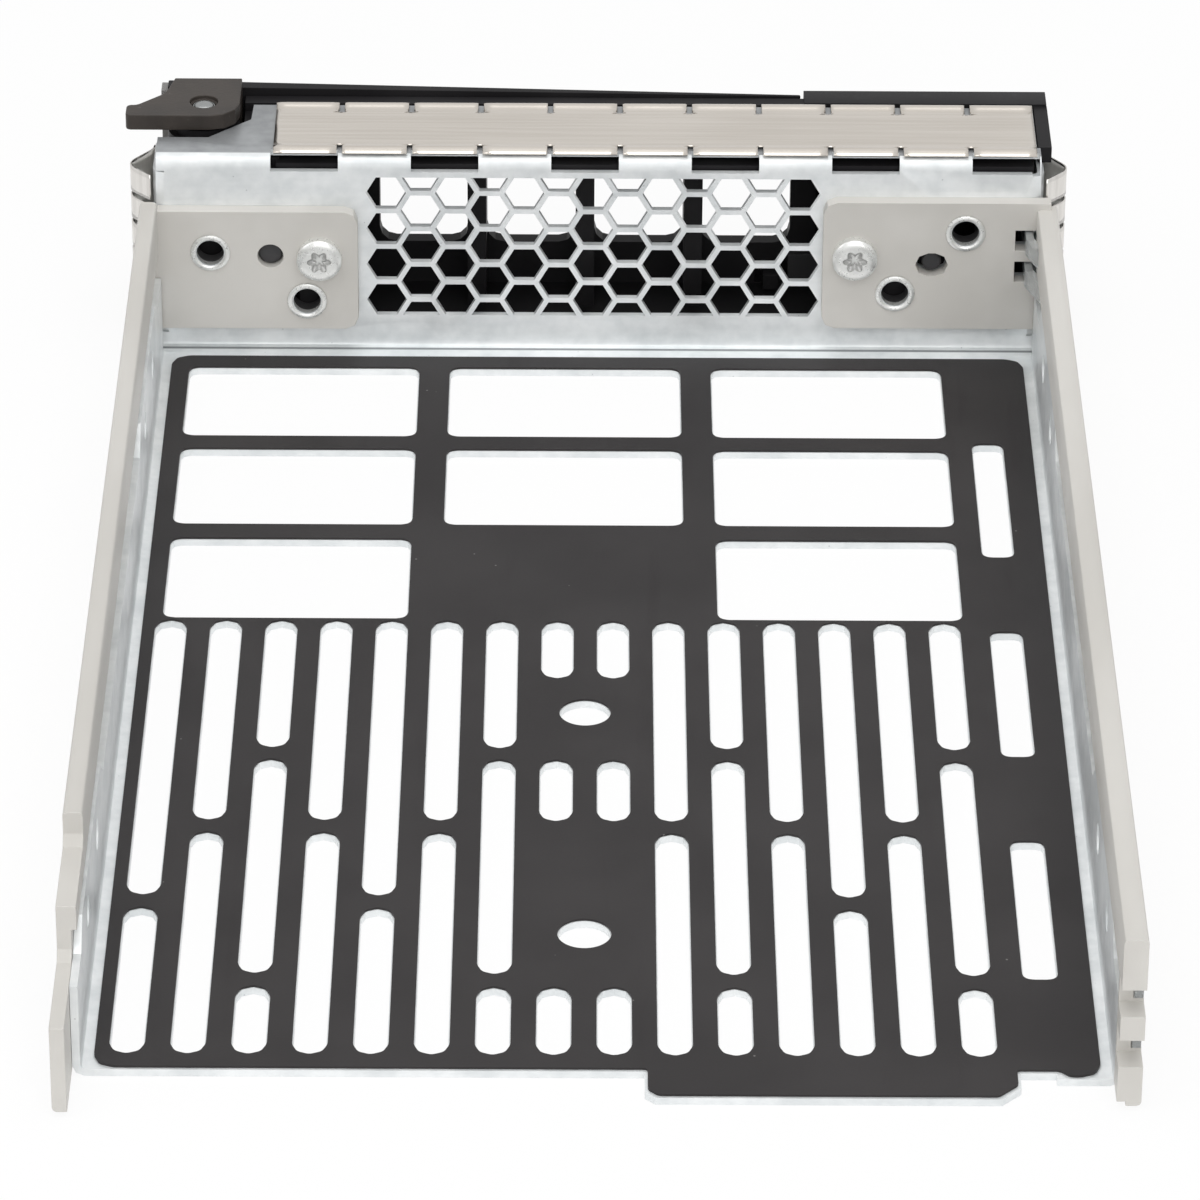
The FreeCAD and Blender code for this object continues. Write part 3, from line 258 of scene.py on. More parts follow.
@dataclass(frozen=True)
class PlatedSheet(Finish):
    """Zinc-plated sheet: pale blue-grey metal with soft clouds, fine rolling lines and specks."""

    shade: Colour = (0.72, 0.75, 0.76)
    bright: Colour = (0.90, 0.92, 0.925)
    roughness: float = 0.38
    metal: float = 0.45
    cloud_cells: Cells = Cells(160.0, 4.0)
    patch_cells: Cells = Cells(700.0)
    line_cells: Cells = Cells(900.0, 2.0, (0.05, 1.0, 1.0))
    tooth_cells: Cells = Cells(5000.0, 2.0)
    crystal_scale: float = 900.0
    tone_band: Band = (0.3, 0.68)
    relief: Band = (0.25, 0.06 * MM)
    pits: Band = (420.0, 0.05)
    pit_share: float = 0.5
    pit_shade: Colour = (0.36, 0.38, 0.40)
    # painted shade: the flat top of the box is darkened in colour for the darker reflection it shows
    shaded_top_from: Band = (25.34 * MM, 25.39 * MM)
    top_painted_shade: Colour = (0.27, 0.28, 0.29)
    # painted shade: a dark line along the inner fold at the foot of the wall, inside these Y and Z bands
    groove: Band = (58.55 * MM, 59.25 * MM)
    fold_shade_blend: float = 0.2 * MM
    fold_shade_bottom: Band = (0.6 * MM, 0.75 * MM)
    fold_shade_top: Band = (0.85 * MM, 1.0 * MM)
    fold_shade_share: float = 0.85
    fold_painted_shade: Colour = (0.17, 0.18, 0.19)

    def paint(self, tree: ShaderTree) -> None:
        """Clouds of two sizes drive the tint and the gloss; rolling lines run across the tray.

        The flat top of the box is darkened with painted shade, and a line of painted shade runs in the
        fold at the foot of its wall.
        """
        clouds, patches, lines = map(tree.noise, (self.cloud_cells, self.patch_cells, self.line_cells))
        spread = {"Vector": tree.place(), "Scale": self.crystal_scale}
        crystals = tree.add("ShaderNodeTexVoronoi", {}, spread, "Color")
        spangle = tree.add("ShaderNodeSeparateColor", {}, {"Color": crystals})
        tone = (clouds * 0.55 + patches * 0.3 + lines * 0.15).between(*self.tone_band)
        colour = tree.mix(tone, self.shade, self.bright)
        colour = tree.mix(tree.specks(*self.pits) * self.pit_share, colour, self.pit_shade)
        y, z = tree.axis("Y"), tree.axis("Z")
        # painted shade darkens the flat top of the box
        flat_top = z.between(*self.shaded_top_from)
        colour = tree.mix(flat_top * (0.75 + tone * 0.25), colour, self.top_painted_shade)
        # painted shade in the fold at the foot of the wall
        rear, front = self.groove
        foot = y.between(rear, rear + self.fold_shade_blend)
        foot = foot * (1.0 - y.between(front - self.fold_shade_blend, front))
        foot = foot * (1.0 - z.between(*self.fold_shade_top)) * z.between(*self.fold_shade_bottom)
        colour = tree.mix(foot * self.fold_shade_share, colour, self.fold_painted_shade)
        gloss = self.roughness + patches.swing(0.22) + lines.swing(0.12) + spangle.swing(0.05)
        height = patches * 0.5 + lines * 0.3 + tree.noise(self.tooth_cells) * 0.2
        tree.set(Base_Color=colour, Metallic=self.metal, Roughness=gloss.limited(),
                 Normal=tree.bump(height, *self.relief))


@dataclass(frozen=True)
class InsulatingFilm(Finish):
    """Dark satin film with a faint grain, soft marks and a little dust."""

    shade: Colour = (0.032, 0.0295, 0.030)
    bright: Colour = (0.041, 0.038, 0.0385)
    dust_shade: Colour = (0.30, 0.29, 0.28)
    roughness: float = 0.43
    sheen_level: float = 0.14
    mark_cells: Cells = Cells(55.0)
    grain_cells: Cells = Cells(3800.0, 2.0)
    scuff_cells: Cells = Cells(260.0, 5.0, (1.0, 0.12, 1.0))
    scuff_band: Band = (0.58, 0.75)
    dust: Band = (230.0, 0.035)
    dust_share: float = 0.55
    relief: Band = (0.18, 0.03 * MM)

    def paint(self, tree: ShaderTree) -> None:
        """Grain drives the gloss; dust is sparse and pale."""
        marks, grain = tree.noise(self.mark_cells), tree.noise(self.grain_cells)
        scuffs = tree.noise(self.scuff_cells).between(*self.scuff_band)
        colour = tree.mix(marks.between(*SOFT_BAND), self.shade, self.bright)
        colour = tree.mix(tree.specks(*self.dust) * self.dust_share, colour, self.dust_shade)
        gloss = self.roughness + grain.swing(0.14) + scuffs * 0.08
        tree.set(Base_Color=colour, Roughness=gloss.limited(), Specular_IOR_Level=self.sheen_level,
                 Normal=tree.bump(grain, *self.relief))


@dataclass(frozen=True)
class MouldedPlastic(Finish):
    """Injection-moulded plastic: two close shades, spark-eroded grain and faint flow marks."""

    shade: Colour = (0.59, 0.572, 0.537)
    bright: Colour = (0.67, 0.652, 0.617)
    roughness: float = 0.46
    grain: float = 0.22
    sheen_level: float = 0.35
    grain_depth: float = 0.04 * MM
    grain_cells: Cells = Cells(4200.0)
    flow_cells: Cells = Cells(70.0, 3.0, (1.0, 0.35, 1.0))
    flow_band: Band = (0.32, 0.68)
    handling_cells: Cells = Cells(420.0, 4.0)
    handling_band: Band = (0.56, 0.78)

    def paint(self, tree: ShaderTree) -> None:
        """Grain gives the bump and the gloss, flow marks give the shade."""
        flow, grain = tree.noise(self.flow_cells), tree.noise(self.grain_cells)
        handling = tree.noise(self.handling_cells).between(*self.handling_band)
        colour = tree.mix(flow.between(*self.flow_band), self.shade, self.bright)
        gloss = self.roughness + grain.swing(0.16) - handling * 0.07
        tree.set(Base_Color=colour, Roughness=gloss.limited(), Specular_IOR_Level=self.sheen_level,
                 Normal=tree.bump(grain, self.grain, self.grain_depth))


@dataclass(frozen=True)
class CoatedCasting(Finish):
    """Dark brown-grey satin coat on a casting, worn pale on a few high spots."""

    shade: Colour = (0.040, 0.034, 0.030)
    bright: Colour = (0.056, 0.047, 0.041)
    worn: Colour = (0.20, 0.18, 0.16)
    roughness: float = 0.36
    sheen_level: float = 0.2
    cloud_cells: Cells = Cells(240.0)
    peel_cells: Cells = Cells(2600.0, 2.0)
    wear_cells: Cells = Cells(900.0, 5.0)
    wear_band: Band = (0.70, 0.80)
    wear_share: float = 0.5
    relief: Band = (0.3, 0.05 * MM)

    def paint(self, tree: ShaderTree) -> None:
        """Orange-peel bump, cloudy gloss, and sparse bright wear."""
        clouds, peel = tree.noise(self.cloud_cells), tree.noise(self.peel_cells)
        wear = tree.noise(self.wear_cells).between(*self.wear_band)
        colour = tree.mix(clouds.between(*SOFT_BAND), self.shade, self.bright)
        colour = tree.mix(wear * self.wear_share, colour, self.worn)
        gloss = self.roughness + clouds.swing(0.18)
        tree.set(Base_Color=colour, Specular_IOR_Level=self.sheen_level, Roughness=gloss.limited(),
                 Normal=tree.bump(peel, *self.relief))


@dataclass(frozen=True)
class RolledStrip(Finish):
    """Bright stainless strip with lines along its rolling direction."""

    shade: Colour = (0.62, 0.575, 0.52)
    bright: Colour = (0.70, 0.655, 0.60)
    line_cells: Cells = Cells(1500.0, 3.0, (0.03, 1.0, 1.0))
    roughness: float = 0.2
    tint_cells: Cells = Cells(45.0, 2.0)
    smudge_cells: Cells = Cells(300.0, 4.0)
    smudge_band: Band = (0.5, 0.75)
    relief: Band = (0.07, 0.02 * MM)

    def paint(self, tree: ShaderTree) -> None:
        """Drawn-out noise gives the rolling lines, wide noise gives a heat tint."""
        lines, tint = tree.noise(self.line_cells), tree.noise(self.tint_cells)
        smudge = tree.noise(self.smudge_cells).between(*self.smudge_band)
        tone = (lines * 0.6 + tint * 0.4).between(*SOFT_BAND)
        colour = tree.mix(tone, self.shade, self.bright)
        gloss = self.roughness + lines.swing(0.07) + smudge * 0.05
        tree.set(Base_Color=colour, Metallic=1.0, Roughness=gloss.limited(),
                 Normal=tree.bump(lines, *self.relief))


@dataclass(frozen=True)
class PlatedFastener(Finish):
    """Bright plated steel of screws, pins and wire."""

    colour: Colour = (0.80, 0.805, 0.785)
    metal: float = 0.55
    mark_cells: Cells = Cells(2400.0)
    patch_cells: Cells = Cells(800.0, 2.0)
    patch_band: Band = (0.35, 0.7)
    patch_tint: float = 0.93
    gloss: Band = (0.22, 0.14)
    relief: Band = (0.04, 0.01 * MM)

    def paint(self, tree: ShaderTree) -> None:
        """Fine turning marks in the gloss, with a slightly darker tint in patches."""
        marks, patches = tree.noise(self.mark_cells), tree.noise(self.patch_cells)
        least, more = self.gloss
        dark = tuple(self.patch_tint * c for c in self.colour)
        colour = tree.mix(patches.between(*self.patch_band), self.colour, dark)
        tree.set(Base_Color=colour, Metallic=self.metal, Roughness=(least + marks * more).limited(),
                 Normal=tree.bump(marks, *self.relief))


@dataclass(frozen=True)
class ClearPlastic(Finish):
    """Clear moulded plastic of the light pipes."""

    shade: Colour = (0.84, 0.87, 0.88)
    bright: Colour = (0.93, 0.95, 0.95)
    clear: float = 0.75
    refraction: float = 1.49
    ripple_cells: Cells = Cells(600.0, 2.0)
    gloss: Band = (0.07, 0.1)
    relief: Band = (0.1, 0.04 * MM)

    def paint(self, tree: ShaderTree) -> None:
        """Nearly clear body, with a ripple in the gloss."""
        ripple = tree.noise(self.ripple_cells)
        least, more = self.gloss
        colour = tree.mix(ripple, self.shade, self.bright)
        tree.set(Base_Color=colour, Transmission_Weight=self.clear, IOR=self.refraction,
                 Roughness=(least + ripple * more).limited(), Normal=tree.bump(ripple, *self.relief))


@dataclass(frozen=True)
class PaleFloor(Finish):
    """Plain white floor that stays white to the camera and in reflections, and keeps a shadow."""

    white: Colour = (0.93, 0.93, 0.93)
    own_light: float = 0.9
    roughness: float = 0.9

    def paint(self, tree: ShaderTree) -> None:
        """Mix of a plain white surface and its own light, seen by camera, gloss and glass."""
        tree.set(Base_Color=self.white, Roughness=self.roughness, Specular_IOR_Level=0.0)
        rays = [tree.add("ShaderNodeLightPath", {}, {}, name)
                for name in ("Is Camera Ray", "Is Glossy Ray", "Is Transmission Ray")]
        seen = (rays[0] + rays[1] + rays[2]).limited() * self.own_light
        glow = tree.add("ShaderNodeEmission", {}, {"Color": (1.0, 1.0, 1.0), "Strength": 1.0})
        both = tree.add("ShaderNodeMixShader", {}, {0: seen, 1: Signal(tree, tree.surface.outputs[0]),
                                                    2: glow})
        tree.links.new(both.socket, tree.nodes["Material Output"].inputs["Surface"])


class Finishes(Enum):
    """The named finishes of the caddy."""

    ZINC = PlatedSheet("zinc_plated_sheet")
    FILM = InsulatingFilm("dark_film")
    RAIL = MouldedPlastic("rail_grey_plastic")
    BEZEL = MouldedPlastic("black_plastic", (0.016, 0.0152, 0.0165), (0.024, 0.0232, 0.0245),
                           0.42, 0.12, 0.07)
    FASCIA = MouldedPlastic("fascia_grey_plastic", (0.20, 0.195, 0.19), (0.25, 0.245, 0.24),
                            0.38, 0.1, 0.2)
    BUTTON = MouldedPlastic("button_grey_plastic", (0.05, 0.05, 0.052), (0.066, 0.065, 0.067),
                            0.4, 0.2, 0.3)
    CASTING = CoatedCasting("coated_casting")
    STRIP = RolledStrip("rolled_strip")
    SIDE_STRIP = RolledStrip("rolled_side_strip", (0.62, 0.60, 0.57), (0.74, 0.72, 0.69),
                             Cells(1500.0, 3.0, (1.0, 1.0, 0.05)), 0.18)
    FASTENER = PlatedFastener("plated_fastener")
    WIRE = PlatedFastener("spring_wire", (0.55, 0.54, 0.52), 1.0)
    CLEAR = ClearPlastic("clear_plastic")
    # painted shade: a darker, less metallic grey laid in the screw recesses for the shade inside them
    SHADE = PlatedFastener("screw_recess_painted_shade", (0.52, 0.52, 0.51), 0.2)
    PIN = PlatedFastener("hinge_pin_steel", (0.32, 0.33, 0.33), 0.8)
    # the pegs' own dark plastic, also laid in the collar bores as painted shade
    PEG_AND_BORE_SHADE = MouldedPlastic("peg_plastic_and_bore_shade", (0.045, 0.044, 0.046), (0.06, 0.059, 0.061),
                         0.42, 0.12, 0.3)
    FLOOR = PaleFloor("pale_floor")


# ---- Surfaces ----
@dataclass
class Surface:
    """A grid of points as a mesh: rows run along one parameter and columns along the other."""

    points: Array
    close_columns: bool = False
    keep: Union[Array, None] = None

    def arrays(self) -> tuple[Array, Array]:
        """Points of the grid as an (n, 3) array, and its quads as an (m, 4) array.

        Quad (i, j) joins points (i, j), (i, j + 1), (i + 1, j + 1) and (i + 1, j), where
        closed columns wrap round.
        """
        rows, columns = self.points.shape[:2]
        i = np.arange(rows - 1)[:, None]
        j = np.arange(columns if self.close_columns else columns - 1)[None, :]
        i2, j2 = i + 1, (j + 1) % columns
        quads = np.stack(np.broadcast_arrays(i * columns + j, i * columns + j2,
                                             i2 * columns + j2, i2 * columns + j), axis=-1)
        if self.keep is not None:
            quads = quads[self.keep]
        return self.points.reshape(-1, 3), quads.reshape(-1, 4)


def make_piece(name: str, surfaces: Sequence[Surface], smooth: float = 40.0) -> Piece:
    """Join surfaces in one mesh object, with doubled points merged and normals outwards.

    Edges flatter than the smooth angle, in degrees, are shaded smooth.
    """
    points, faces, start = [], [], 0
    for surface in surfaces:
        own_points, own_faces = surface.arrays()
        points.append(own_points)
        faces.append(own_faces + start)
        start += len(own_points)
    mesh = bpy.data.meshes.new(name)
    mesh.from_pydata(np.concatenate(points).tolist(), [], np.concatenate(faces).tolist())
    work = bmesh.new()
    work.from_mesh(mesh)
    bmesh.ops.remove_doubles(work, verts=work.verts, dist=SAME_POINT)
    bmesh.ops.recalc_face_normals(work, faces=work.faces)
    work.to_mesh(mesh)
    work.free()
    mesh.shade_smooth()
    mesh.set_sharp_from_angle(angle=math.radians(smooth))
    return linked(name, mesh)


def linked(name: str, data: bpy.types.ID) -> Piece:
    """New object of the scene."""
    made = bpy.data.objects.new(name, data)
    bpy.context.scene.collection.objects.link(made)
    return made


def rounded_line(corners: Sequence[Band], radii: Sequence[float], steps: int = 9) -> Array:
    """Points along a line whose inner corners are rounded.

    Each becomes the curve (1 - t)^2 start + 2t(1 - t) corner + t^2 end, as t goes from 0 to 1,
    where start and end lie one radius from the corner along its two sides.

    Args:
        corners: The corners of the line.
        radii: Reach of the rounding at each inner corner.
        steps: Points in each rounding.

    Returns:
        An (n, 2) array.
    """
    flat = np.asarray(corners, float)
    t = np.linspace(0.0, 1.0, steps)[:, None]
    parts = [flat[:1]]
    for k, radius in enumerate(radii, start=1):
        before, here, after = flat[k - 1], flat[k], flat[k + 1]
        start = here + (before - here) / np.linalg.norm(before - here) * radius
        end = here + (after - here) / np.linalg.norm(after - here) * radius
        parts.append((1 - t) ** 2 * start + 2 * t * (1 - t) * here + t ** 2 * end)
    parts.append(flat[-1:])
    return np.concatenate(parts)


def run_along(line: Array) -> Array:
    """Distance of each point of a line from its start, measured along the line."""
    return np.concatenate([[0.0], np.cumsum(np.linalg.norm(np.diff(line, axis=0), axis=1))])


def full_turn(steps: int) -> Array:
    """Angles evenly spread over a full turn, without its end."""
    return np.linspace(0.0, 2 * math.pi, steps, endpoint=False)


def turned(profile: Array, centre: Point, axis: int, steps: int = 48) -> Surface:
    """Surface of revolution about an axis parallel to X, Y or Z.

    A profile point (r, h) goes to radius r at angle a and height h along the axis, for
    angles evenly spread over a full turn.
    """
    a = full_turn(steps)[None, :]
    r, h = profile[:, :1], profile[:, 1:]
    across = [r * np.cos(a), r * np.sin(a)]
    along = np.broadcast_to(h, across[0].shape)
    order = {0: (along, *across), 1: (across[0], along, across[1]), 2: (*across, along)}[axis]
    return Surface(np.stack(order, axis=-1) + np.asarray(centre), close_columns=True)


def wire_along(path: Array, radius: float, sides: int = 10) -> Surface:
    """Round wire along a path.

    At each point of the path a circle of the wire's radius lies square to the path's
    direction; both ends are drawn in to a point.
    """
    way = np.gradient(path, axis=0)
    way /= np.linalg.norm(way, axis=1, keepdims=True)
    up = np.cross(way, ASKEW)
    up /= np.linalg.norm(up, axis=1, keepdims=True)
    out = np.cross(way, up)
    a = full_turn(sides)
    swell = np.full(len(path), radius)
    swell[[0, -1]] = 0.0
    ring = up[:, None] * np.cos(a)[None, :, None] + out[:, None] * np.sin(a)[None, :, None]
    return Surface(path[:, None] + ring * swell[:, None, None], close_columns=True)


def round_openings(work: bmesh.types.BMesh, reach: float) -> None:
    """Round the polygonal ends of the openings in a flat sheet.

    Args:
        work: The sheet's mesh, changed in place.
        reach: How far each rounding goes along the two sides of a corner, in metres.
    """
    corners = []
    for edge in work.edges:
        way = edge.verts[1].co - edge.verts[0].co
        upright = abs(way.z) > UPRIGHT * way.length and way.length < SHEET_HEIGHT
        low = max(v.co.z for v in edge.verts) < FLOOR_TOP
        if upright and low and edge.is_manifold and edge.calc_face_angle() > math.radians(OPENING_TURN):
            corners.append(edge)
    bmesh.ops.bevel(work, geom=corners, offset=reach, segments=OPENING_STEPS, profile=CIRCULAR,
                    affect="EDGES", clamp_overlap=True)


def softened(node: str, name: str, width: float, round_off: float) -> Piece:
    """Copy of a rigid node with its sharp edges broken by a bevel of the given width.

    The corners of openings in a flat sheet are rounded over round_off metres, or left if it is 0.
    """
    mesh = frame["nodes"][node].data.copy()
    mesh.name = name
    for layer in [a for a in mesh.attributes if a.name == "custom_normal"]:
        mesh.attributes.remove(layer)
    work = bmesh.new()
    work.from_mesh(mesh)
    bmesh.ops.remove_doubles(work, verts=work.verts, dist=SAME_CORNER)
    bmesh.ops.dissolve_limit(work, angle_limit=math.radians(FLAT), verts=work.verts, edges=work.edges)
    if round_off:
        round_openings(work, round_off)
    work.to_mesh(mesh)
    work.free()
    mesh.shade_smooth()
    piece = linked(name, mesh)
    bevel = piece.modifiers.new("soft_edges", "BEVEL")
    bevel.width = width
    bevel.segments = EDGE_STEPS
    bevel.limit_method = "ANGLE"
    bevel.angle_limit = math.radians(SOFT_FROM)
    bevel.use_clamp_overlap = True
    bevel.harden_normals = True
    return piece


@dataclass
class Assembly:
    """A sub-assembly that adds pieces to the frame."""

    pieces: list[Piece] = field(default_factory=list)

    def add(self, piece: Piece, node: str, finish: Finishes, replaces: bool = True) -> None:
        """Dress a piece and let it ride with a node, which it stands for unless told otherwise."""
        finish.value.dress(piece)
        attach(piece, frame["nodes"][node]["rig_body"])
        if replaces:
            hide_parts(node)
        self.pieces.append(piece)
        LOG.info("%s rides with %s", piece.name, node)

    def soften(self, node: str, name: str, width: float, finish: Finishes,
               round_off: float = 0.0) -> None:
        """Stand a soft-edged copy in for a node, if need be with rounded openings."""
        self.add(softened(node, name, width, round_off), node, finish)

    def dress_node(self, node: str, finish: Finishes) -> None:
        """Give a node of the frame its finish."""
        finish.value.dress(frame["nodes"][node])
        LOG.info("%s has the finish %s", node, finish.value.name)

    def build(self) -> None:
        """Make the pieces; each sub-assembly has its own way."""
        raise NotImplementedError


# ---- Tray ----
@dataclass
class Tray(Assembly):
    """Folded tray with its film, the rims of its collars and the pegs in its wall."""

    sheet_edge: float = 0.05 * MM
    film_edge: float = 0.02 * MM
    round_off: float = 0.5 * MM
    rim_profile: tuple[Band, ...] = (
        (2.3 * MM, 0.02 * MM), (2.25 * MM, -0.10 * MM), (2.02 * MM, -0.20 * MM), (1.86 * MM, -0.21 * MM),
        (1.72 * MM, -0.12 * MM), (1.63 * MM, 0.12 * MM), (1.605 * MM, 0.5 * MM), (1.60 * MM, 0.9 * MM))
    # painted shade: a dark sheet lines each collar's bore where the zinc is in shade
    bore_shade_radii: Band = (1.60 * MM, 1.585 * MM)
    bore_shade_start: Band = (0.9 * MM, 0.95 * MM)
    collar_places: tuple[Band, ...] = (
        (-45.2 * MM, 13.75 * MM), (-34.0 * MM, 7.5 * MM), (42.75 * MM, 16.75 * MM), (34.7 * MM, 8.85 * MM))
    collar_end: float = 58.0 * MM
    wall_front: float = 60.6 * MM
    pegs_at: tuple[Point, ...] = (
        (-38.2 * MM, 13.3 * MM, 1.4 * MM), (38.9 * MM, 12.6 * MM, 1.15 * MM))
    peg_end: float = 58.95 * MM
    peg_round: float = 0.3 * MM
    peg_steps: int = 6

    def build(self) -> None:
        """Dress the tray and the film, then add collar rims, dark sheets of painted shade in their bores,
        and the pegs.
        """
        self.soften("tray_pan", "tray_sheet", self.sheet_edge, Finishes.ZINC, self.round_off)
        self.soften("floor_insulator", "floor_film", self.film_edge, Finishes.FILM, self.round_off)
        self.add(self.rims(), "tray_pan", Finishes.FASTENER, replaces=False)
        self.add(self.bore_shade_sheets(), "tray_pan", Finishes.PEG_AND_BORE_SHADE, replaces=False)
        self.add(self.pegs(), "bezel_frame", Finishes.PEG_AND_BORE_SHADE, replaces=False)

    def rims(self) -> Piece:
        """Funnel rims: a low flare outside, a rounded crest and a curved way into the bore."""
        return self.round_each_collar("collar_rims", self.rim_profile)

    def bore_shade_sheets(self) -> Piece:
        """Painted shade in each bore: a dark sheet from under the rim to the front of the wall."""
        (start, full), (wide, bore) = self.bore_shade_start, self.bore_shade_radii
        depth = self.wall_front - self.collar_end
        return self.round_each_collar("collar_bore_shade", [(wide, start), (bore, full), (bore, depth)])

    def round_each_collar(self, name: str, profile: Sequence[Band]) -> Piece:
        """Turn a profile of radius and depth about the axis of every collar."""
        return make_piece(name, [turned(np.array(profile), (x, self.collar_end, z), 1)
                                 for x, z in self.collar_places])

    def pegs(self) -> Piece:
        """Round pegs of the bezel that end inside the pads, with a rounded rim."""
        a = np.linspace(0.0, math.pi / 2, self.peg_steps)
        surfaces = []
        for x, z, radius in self.pegs_at:
            rim = np.stack([radius + self.peg_round * (np.sin(a) - 1), self.peg_round * (1 - np.cos(a))],
                           axis=1)
            profile = np.concatenate([[(0.0, 0.0)], rim, [(radius, self.wall_front - self.peg_end)]])
            surfaces.append(turned(profile, (x, self.peg_end, z), 1))
        return make_piece("locating_pegs", surfaces)


# ---- Rails ----
@dataclass
class Rails(Assembly):
    """Plastic rails with their pads and the clear light pipes."""

    edge: float = 0.16 * MM

    def build(self) -> None:
        """Stand soft-edged mouldings in for the rails and dress the light pipes."""
        self.soften("left_rail", "left_rail_moulding", self.edge, Finishes.RAIL)
        self.soften("right_rail", "right_rail_moulding", self.edge, Finishes.RAIL)
        for node in ("lower_light_pipe", "upper_light_pipe"):
            self.dress_node(node, Finishes.CLEAR)


# ---- Screws ----
@dataclass
class PadScrews(Assembly):
    """Pan-head screws with a six-lobed recess and a rolled thread."""

    head_radius: float = 2.6 * MM
    head_height: float = 1.4 * MM
    shank_radius: float = 1.4 * MM
    thread_pitch: float = 0.5 * MM
    thread_depth: float = 0.12 * MM
    lobe_radius: float = 1.15 * MM
    lobe_swing: float = 0.22 * MM
    recess_depth: float = 0.7 * MM
    fine_zone: Band = (1.35 * MM, 1.42 * MM)
    dome_drop: float = 0.42 * MM
    dome_power: int = 6
    recess_wall: float = 0.1 * MM
    recess_inner: Band = (0.5, 1.1)
    recess_band: Band = (0.8, 0.6)
    lobes: int = 6
    ring_steps: tuple[int, int] = (26, 14)
    lobe_steps: int = 96
    band_steps: int = 5
    shank_steps: int = 150
    thread_steps: int = 32
    smooth: float = 35.0

    def build(self) -> None:
        """Stand a detailed screw in for each pad screw."""
        for node in ("left_pad_screw", "right_pad_screw"):
            low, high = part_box(node)
            centre = ((low.x + high.x) / 2, low.y, (low.z + high.z) / 2)
            length = high.y - low.y
            surfaces = [self.head(centre), self.shank(centre, length)]
            screw = make_piece(node + "_turned", surfaces, self.smooth)
            self.add(screw, node, Finishes.FASTENER)
            # a darker band in each recess is painted shade
            self.add(make_piece(node + "_recess", [self.recess(centre)]), node, Finishes.SHADE,
                     replaces=False)

    def head(self, centre: Point) -> Surface:
        """Domed head: height falls with the sixth power of the radius, less a recess of six lobes.

        The recess is cut where the radius is under lobe_radius + lobe_swing * cos(6 angle),
        with a steep smooth wall.
        """
        (fine, coarse), (inside, outside) = self.fine_zone, self.ring_steps
        radius = np.concatenate([np.linspace(0.0, fine, inside),
                                 np.linspace(coarse, self.head_radius, outside)])[:, None]
        a = full_turn(self.lobe_steps)[None, :]
        dome = self.dome_drop * np.clip(radius / self.head_radius, 0.0, 1.0) ** self.dome_power
        wall = self.lobe_radius + self.lobe_swing * np.cos(self.lobes * a)
        cut = np.clip((wall - radius) / self.recess_wall + 0.5, 0.0, 1.0)
        cut = cut * cut * (3 - 2 * cut)
        depth = dome + self.recess_depth * cut
        points = np.stack([radius * np.cos(a), depth, radius * np.sin(a)], -1)
        rim = points[-1:].copy()
        rim[..., 1] = self.head_height
        inner = rim.copy()
        inner[..., [0, 2]] *= self.shank_radius / self.head_radius
        grid = np.concatenate([points, rim, inner])
        return Surface(grid + np.asarray(centre), close_columns=True)

    def recess(self, centre: Point) -> Surface:
        """Lobed band of painted shade inside the recess, between its wall and its bright floor."""
        a = full_turn(self.lobe_steps)[None, :]
        (width, swing), (deep, rise) = self.recess_inner, self.recess_band
        lobes = self.lobe_swing * np.cos(self.lobes * a)
        wall = self.lobe_radius + lobes
        inner = width * self.lobe_radius + swing * lobes
        share = np.linspace(0.0, 1.0, self.band_steps)[:, None]
        radius = inner + (wall - inner) * share
        depth = self.recess_depth * (deep - rise * share ** 2) + 0 * a
        points = np.stack([radius * np.cos(a), depth, radius * np.sin(a)], -1)
        return Surface(points + np.asarray(centre), close_columns=True)

    def shank(self, centre: Point, length: float) -> Surface:
        """Threaded shank: the radius swings with the height and the angle, once per pitch."""
        height = np.linspace(self.head_height, length, self.shank_steps)[:, None]
        a = full_turn(self.thread_steps)[None, :]
        phase = (height / self.thread_pitch + a / (2 * math.pi)) % 1.0
        radius = self.shank_radius - self.thread_depth * np.abs(2 * phase - 1)
        radius[-1] = 0.0
        points = np.stack([radius * np.cos(a), height + 0 * a, radius * np.sin(a)], -1)
        return Surface(points + np.asarray(centre), close_columns=True)


